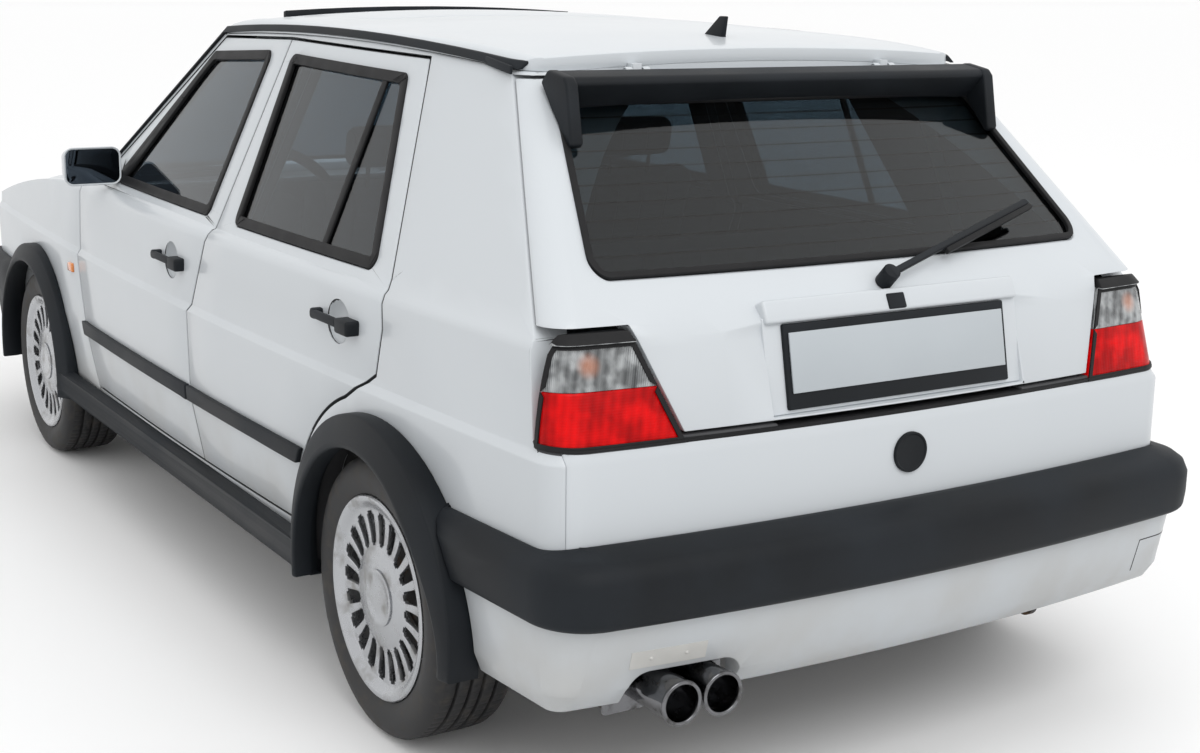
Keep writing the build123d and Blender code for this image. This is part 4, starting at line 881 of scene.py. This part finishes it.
# The spoiler's ends turn down the sides of the glass. A white lip under the roof's rear edge
# closes the slot in front of the tailgate hinges.
WING_OUTLINE = [(-1.442, 1.311), (-1.466, 1.335), (-1.526, 1.325), (-1.538, 1.312),
                (-1.560, 1.203), (-1.547, 1.195), (-1.482, 1.262)]
WING_Y = (0.503, 0.5295)
for word, side in SIDES:
    wing = draw_line([(x, side * WING_Y[0], z) for x, z in WING_OUTLINE])
    wing.name = f"spoiler_wing_{word}"
    bpy.ops.mesh.edge_face_add()
    outward = (0, side * (WING_Y[1] - WING_Y[0]), 0)
    bpy.ops.mesh.extrude_region_move(TRANSFORM_OT_translate={"value": outward})
    bpy.ops.mesh.select_all(action="SELECT")
    bpy.ops.mesh.normals_make_consistent(inside=False)
    bpy.ops.object.mode_set(mode="OBJECT")
    round_edges(wing, 0.006, 3)
    settle(wing, "tailgate", grained_plastic)
LIP_X = -1.395
LIP_LOW_Z = 1.320
LIP_HALF_W = 0.40
LIP_DROP = (0.008, 0.014)
LIP_SET_IN = 0.0035
bpy.ops.object.select_all(action="DESELECT")
bpy.ops.mesh.primitive_grid_add(x_subdivisions=1, y_subdivisions=24, size=1,
                                location=(LIP_X, 0, LIP_LOW_Z), rotation=(0, -math.pi / 2, 0),
                                scale=(1, 2 * LIP_HALF_W, 1))
roof_lip = bpy.context.active_object
roof_lip.name = "roof_edge_lip"
bpy.ops.object.transform_apply(location=True, rotation=True, scale=True)
for corner in roof_lip.data.vertices:
    upper = corner.co.z > LIP_LOW_Z
    roof_z = surface_at(panels["roof_panel"], (LIP_X, corner.co.y, 2), (0, 0, -1)).z
    from_behind = (-2.5, corner.co.y, roof_z - LIP_DROP[1])
    corner.co.x = surface_at(panels["roof_panel"], from_behind, (1, 0, 0)).x + LIP_SET_IN
    corner.co.z = roof_z - LIP_DROP[0] if upper else LIP_LOW_Z
apply_modifier(roof_lip, "SOLIDIFY", thickness=0.004, offset=0)
settle(roof_lip, "shell", white_paint)

# The aerial stands near the roof's rear edge as a small raked fin, and the left gutter strip has
# peeled off at its rear end, where it hangs a little away from the roof.
FIN_AT = (-1.246, 0, 1.3755)
FIN_SIZE = (0.078, 0.014, 0.052)
FIN_RAKE = 0.040
FIN_TOP = (0.32, 0.5, 1)
bpy.ops.object.select_all(action="DESELECT")
bpy.ops.mesh.primitive_cube_add(size=1)
fin = bpy.context.active_object
fin.name = "roof_fin"
fin.scale = FIN_SIZE
bpy.ops.object.transform_apply(scale=True)
select_faces(fin, lambda at, out: out.z > 0.9)
bpy.ops.object.mode_set(mode="EDIT")
bpy.ops.mesh.select_mode(type="FACE")
bpy.ops.transform.resize(value=FIN_TOP)
bpy.ops.transform.translate(value=(-FIN_RAKE, 0, 0))
bpy.ops.object.mode_set(mode="OBJECT")
round_edges(fin, 0.0025, 3)
fin.location = (FIN_AT[0], FIN_AT[1], FIN_AT[2] + FIN_SIZE[2] / 2)
bpy.ops.object.transform_apply(location=True, rotation=True, scale=True)
settle(fin, "shell", grained_plastic)
PEEL_AT = (-1.340, 1.5, 1.342)
PEEL_SIZE = (0.110, 0.006, 0.016)
PEEL_SHIFT = (0, 0.004, -0.005)
PEEL_TURN = (0, -0.12, -0.05)
peel_at = surface_at(bpy.data.objects["roof_trim_moulding"], PEEL_AT, (0, -1, 0)) + Vector(PEEL_SHIFT)
peel = shaped_box("loose_gutter_end", PEEL_SIZE, peel_at, PEEL_TURN, 0.002)
settle(peel, "shell", grained_plastic)

# A wiper blade with its rubber rides under the end of the arm, and a black rubber strip closes the gap
# under the tailgate, seated on the rear panel's upper edge; its black is partly the seal and partly
# painted shade of that gap.
WIPER_PIVOT = (-1.834, 0, 0.962)
BLADE_ALONG = 0.325
BLADE_OFF = 0.007
BLADE_ASIDE = 0.012
BLADE_SIZE = (0.30, 0.012, 0.013)
GLASS_LEAN = math.radians(46)
ARM_TILT = math.radians(18)
SEAL_LOW_Z = 0.70
up_glass = Vector((math.sin(GLASS_LEAN), 0, math.cos(GLASS_LEAN)))
off_glass = Vector((-math.cos(GLASS_LEAN), 0, math.sin(GLASS_LEAN)))
along_arm = Vector((0, -1, 0)) * math.cos(ARM_TILT) + up_glass * math.sin(ARM_TILT)
aside_arm = off_glass.cross(along_arm)
blade_turn = Matrix((along_arm, aside_arm, off_glass)).transposed().to_euler()
blade_at = Vector(WIPER_PIVOT) + along_arm * BLADE_ALONG + off_glass * BLADE_OFF
blade_at -= aside_arm * BLADE_ASIDE
blade = shaped_box("wiper_blade", BLADE_SIZE, blade_at, blade_turn, 0.003)
settle(blade, "tailgate", seal_rubber)
# The strip's black is partly seal rubber and partly painted shade of the gap under the tailgate.
gate_seal_and_shade = outer_skin(panels["rear_panel"], "tailgate_seal",
                       lambda at, out: out.z > 0.9 and at.z > SEAL_LOW_Z)
apply_modifier(gate_seal_and_shade, "SOLIDIFY", thickness=0.008, offset=1)
gate_seal_and_shade.data.materials.clear()
settle(gate_seal_and_shade, "shell", seal_rubber)

# A plain black plastic disc with a raised rim is clipped to the middle of the rear panel. A
# small amber marker, moulded in one with its ribs, is let into each front fender.
DISC_SPOT = (-2.5, 0, 0.645)
PLAIN_DISC_R = 0.039
PLAIN_DISC_T = 0.012
MARKER_SPOT = (0.778, 1.5, 0.653)
MARKER_SIZE = (0.046, 0.016, 0.026)
MARKER_RIB = 0.004
disc_at = surface_at(panels["rear_panel"], DISC_SPOT, (1, 0, 0))
plain_disc = flat_disc(PLAIN_DISC_R, PLAIN_DISC_T, disc_at, (0, math.pi / 2, 0), 64)
plain_disc.name = "plain_disc"
inset_faces(plain_disc, lambda at, out: out.x < -0.9, (0.004, 0.0), (0.001, -0.002))
round_edges(plain_disc, 0.001)
settle(plain_disc, "shell", grained_plastic)
amber_lens, shader, place = new_finish("amber_lens", Coat_Weight=1.0, Coat_Roughness=0.04,
                                       Roughness=0.18)
ribs = place.axis("Z").wave(MARKER_RIB)
ribs.blend((0.75, 0.17, 0.01, 1), (0.95, 0.32, 0.03, 1)).into(shader, "Base Color")
ribs.bump(0.5, 0.001).into(shader, "Normal")
for word, side in SIDES:
    outside = (MARKER_SPOT[0], side * MARKER_SPOT[1], MARKER_SPOT[2])
    marker_at = surface_at(panels["front_fenders"], outside, (0, -side, 0))
    marker = shaped_box(f"side_marker_{word}", MARKER_SIZE, marker_at, edge=0.004)
    settle(marker, "shell", amber_lens)

# The valance was mended above the exhaust notch with a riveted sheet patch, a shade off the
# paint, and has the cover of the towing eye cut into its right end.
def skin_patch(panel, name, y_span, z_span, thick):
    """A thin sheet that follows a rear panel's outer face between two widths and two heights."""
    sheet = outer_skin(panel, name, lambda at, out: out.x < -0.3)
    bounds = [((0, y_span[0], 0), (0, -1, 0)), ((0, y_span[1], 0), (0, 1, 0)),
              ((0, 0, z_span[0]), (0, 0, -1)), ((0, 0, z_span[1]), (0, 0, 1))]
    trim_sheet(sheet, bounds)
    apply_modifier(sheet, "SOLIDIFY", thickness=thick, offset=1)
    sheet.data.materials.clear()
    return sheet


PATCH_Y = (0.475, 0.625)
PATCH_Z = (0.338, 0.372)
PATCH_T = 0.0010
RIVET_Y = (0.515, 0.585)
RIVET_SIZE = (0.006, 0.007, 0.007)
FLAP_SEAMS = [("flap_seam_upright", (-0.6425, -0.640), (0.30, 0.372)),
              ("flap_seam_top", (-0.740, -0.640), (0.3715, 0.374))]
SEAM_T = 0.0003
patch_paint, shader, place = new_finish("patch_paint", Coat_Weight=0.4)
place.noise(30, 4).blend((0.60, 0.595, 0.57, 1), (0.68, 0.675, 0.65, 1)).into(shader, "Base Color")
(0.3 + place.noise(20) * 0.2).into(shader, "Roughness")
patch = skin_patch(panels["rear_valance"], "valance_patch", PATCH_Y, PATCH_Z, PATCH_T)
settle(patch, "shell", patch_paint)
for count, rivet_y in enumerate(RIVET_Y, 1):
    rivet_at = surface_at(panels["rear_valance"], (-2.5, rivet_y, sum(PATCH_Z) / 2), (1, 0, 0))
    rivet = shaped_box(f"valance_rivet_{count}", RIVET_SIZE, rivet_at, edge=0.0025)
    settle(rivet, "shell", patch_paint)
for name, y_span, z_span in FLAP_SEAMS:
    seam = skin_patch(panels["rear_valance"], name, y_span, z_span, SEAM_T)
    settle(seam, "shell", seal_rubber)

# The cabin has a moulded dashboard with a parcel shelf at the back, a thick-rimmed steering
# wheel and cloth seats: foam under woven cloth, swelled from a slightly smaller block.
cabin_plastic, shader, place = new_finish("cabin_plastic")
place.noise(6, 4).blend((0.022, 0.022, 0.024, 1), (0.042, 0.042, 0.045, 1)).into(shader, "Base Color")
(0.55 + place.noise(30) * 0.2).into(shader, "Roughness")
place.noise(800, 2).bump(0.25, 0.0008).into(shader, "Normal")
for node, body, edge in (("dashboard", "shell", 0.008), ("steering_wheel", "steering_wheel", 0.007)):
    fitting = copy_solid(node, f"{node}_cover")
    round_edges(fitting, edge, 3)
    settle(fitting, body, cabin_plastic)
    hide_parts(node)
seat_cloth, shader, place = new_finish("seat_cloth", Sheen_Weight=0.3)
THREAD = 0.004
CHANNEL_PITCH = 0.075
weave = place.axis("X").wave(THREAD) * place.axis("Y").wave(THREAD)
weave = weave + place.axis("Z").wave(THREAD) * 0.5
# The stitched channels are pressed in by the bump and coloured dark as painted shade in their grooves.
channel = place.axis("Y").wave(CHANNEL_PITCH).ramp(0.06, 0.0)
shade = weave.blend((0.05, 0.052, 0.058, 1), (0.11, 0.113, 0.12, 1))
channel.blend(shade, (0.02, 0.02, 0.022, 1)).into(shader, "Base Color")
(0.85 + weave * 0.1).into(shader, "Roughness")
(weave * 0.25 - channel).bump(0.6, 0.003).into(shader, "Normal")
PAD_SHRINK = 0.012
PAD_VOXEL = 0.010
PAD_PRESSURE = 4
PAD_FRAMES = 20
SWELL_CAP = 0.018
SEAT_Y = 0.345
SEAT_BASE = (0.40, 0.40, 0.10)
SEAT_BASE_AT = (-0.04, SEAT_Y, 0.315)
POST_SIZE = (0.010, 0.010, 0.10)
POST_AT = (-0.400, SEAT_Y, 1.025)
POSTS = {"a": -0.06, "b": 0.06}
HEADREST_LEAN = -0.15
SEAT_PADS = [("front_seat_cushion", (0.49, 0.47, 0.14), (-0.04, SEAT_Y, 0.440), 0.0, True),
             ("front_seat_back", (0.10, 0.45, 0.54), (-0.31, SEAT_Y, 0.765), -0.283, True),
             ("front_headrest", (0.07, 0.25, 0.115), (-0.41, SEAT_Y, 1.092), HEADREST_LEAN, True),
             ("rear_seat_cushion", (0.42, 1.04, 0.17), (-0.90, 0.0, 0.475), 0.0, False),
             ("rear_seat_back", (0.10, 1.04, 0.43), (-1.13, 0.0, 0.762), -0.349, False)]


def swelled_pad(name, size, at, lean):
    """A block of foam that cloth pressure crowns, kept within a cap of its starting place."""
    pad = shaped_box(name, [value - PAD_SHRINK for value in size], at, (0, lean, 0), 0.025, 3)
    apply_modifier(pad, "REMESH", mode="VOXEL", voxel_size=PAD_VOXEL)
    apply_modifier(pad, "SMOOTH", factor=0.5, iterations=6)
    start = [corner.co.copy() for corner in pad.data.vertices]
    cloth = pad.modifiers.new("swell", "CLOTH")
    cloth.settings.use_pressure = True
    cloth.settings.uniform_pressure_force = PAD_PRESSURE
    cloth.settings.effector_weights.gravity = 0
    for step in range(1, PAD_FRAMES + 1):
        bpy.context.scene.frame_set(step)
    select_only(pad)
    bpy.ops.object.modifier_apply(modifier="swell")
    bpy.context.scene.frame_set(1)
    for corner, before in zip(pad.data.vertices, start):
        shift = corner.co - before
        if shift.length > SWELL_CAP:
            corner.co = before + shift * (SWELL_CAP / shift.length)
    return pad


for name, size, at, lean, paired in SEAT_PADS:
    pad = swelled_pad(f"{name}_left" if paired else name, size, at, lean)
    pads = [pad]
    if paired:
        pads.append(copy_piece(pad, f"{name}_right", (0, -2 * at[1], 0)))
    for each in pads:
        settle(each, "shell", seat_cloth, 60)
        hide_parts("front_seats" if paired else "rear_seat")
for word, side in SIDES:
    base_at = (SEAT_BASE_AT[0], side * SEAT_BASE_AT[1], SEAT_BASE_AT[2])
    base = shaped_box(f"seat_base_{word}", SEAT_BASE, base_at, edge=0.012)
    settle(base, "shell", cabin_plastic)
    for letter, post_y in POSTS.items():
        post_at = (POST_AT[0], side * POST_AT[1] + post_y, POST_AT[2])
        post = shaped_box(f"headrest_post_{word}_{letter}", POST_SIZE, post_at,
                          (0, HEADREST_LEAN, 0), 0.004)
        settle(post, "shell", tip_chrome)

# The nose has two round headlamps with ribbed glass beside the grille, a blank plate on the
# bumper and amber turn lamps let into it.
FLUTE = 0.007
TURN_LAMP_SIZE = (0.012, 0.11, 0.045)
TURN_LAMP_Y = 0.55
NOSE_Z = 0.47
AHEAD_X = 2.6
headlamp_glass, shader, place = new_finish("headlamp_glass", Coat_Weight=1.0, Coat_Roughness=0.02,
                                           Metallic=0.5)
flutes = place.axis("Y").wave(FLUTE)
# The lighter and darker stripes along the flutes are painted highlights.
flutes.blend((0.42, 0.44, 0.46, 1), (0.82, 0.84, 0.86, 1)).into(shader, "Base Color")
(0.08 + flutes * 0.1).into(shader, "Roughness")
flutes.bump(0.6, 0.002).into(shader, "Normal")
lamps = copy_solid("headlamps", "headlamp_lenses")
round_edges(lamps, 0.008, 3)
settle(lamps, "shell", headlamp_glass)
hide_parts("headlamps")
nose = bpy.data.objects["front_bumper_moulding"]
front_plate_at = surface_at(nose, (AHEAD_X, 0, NOSE_Z), (-1, 0, 0))
front_plate = shaped_box("front_plate", PLATE_SIZE, front_plate_at, edge=0.0012, segments=2)
settle(front_plate, "shell", plate_blank)
for word, side in SIDES:
    turn_at = surface_at(nose, (AHEAD_X, side * TURN_LAMP_Y, NOSE_Z), (-1, 0, 0))
    turn_lamp = shaped_box(f"turn_lamp_{word}", TURN_LAMP_SIZE, turn_at, edge=0.004)
    settle(turn_lamp, "shell", amber_lens)
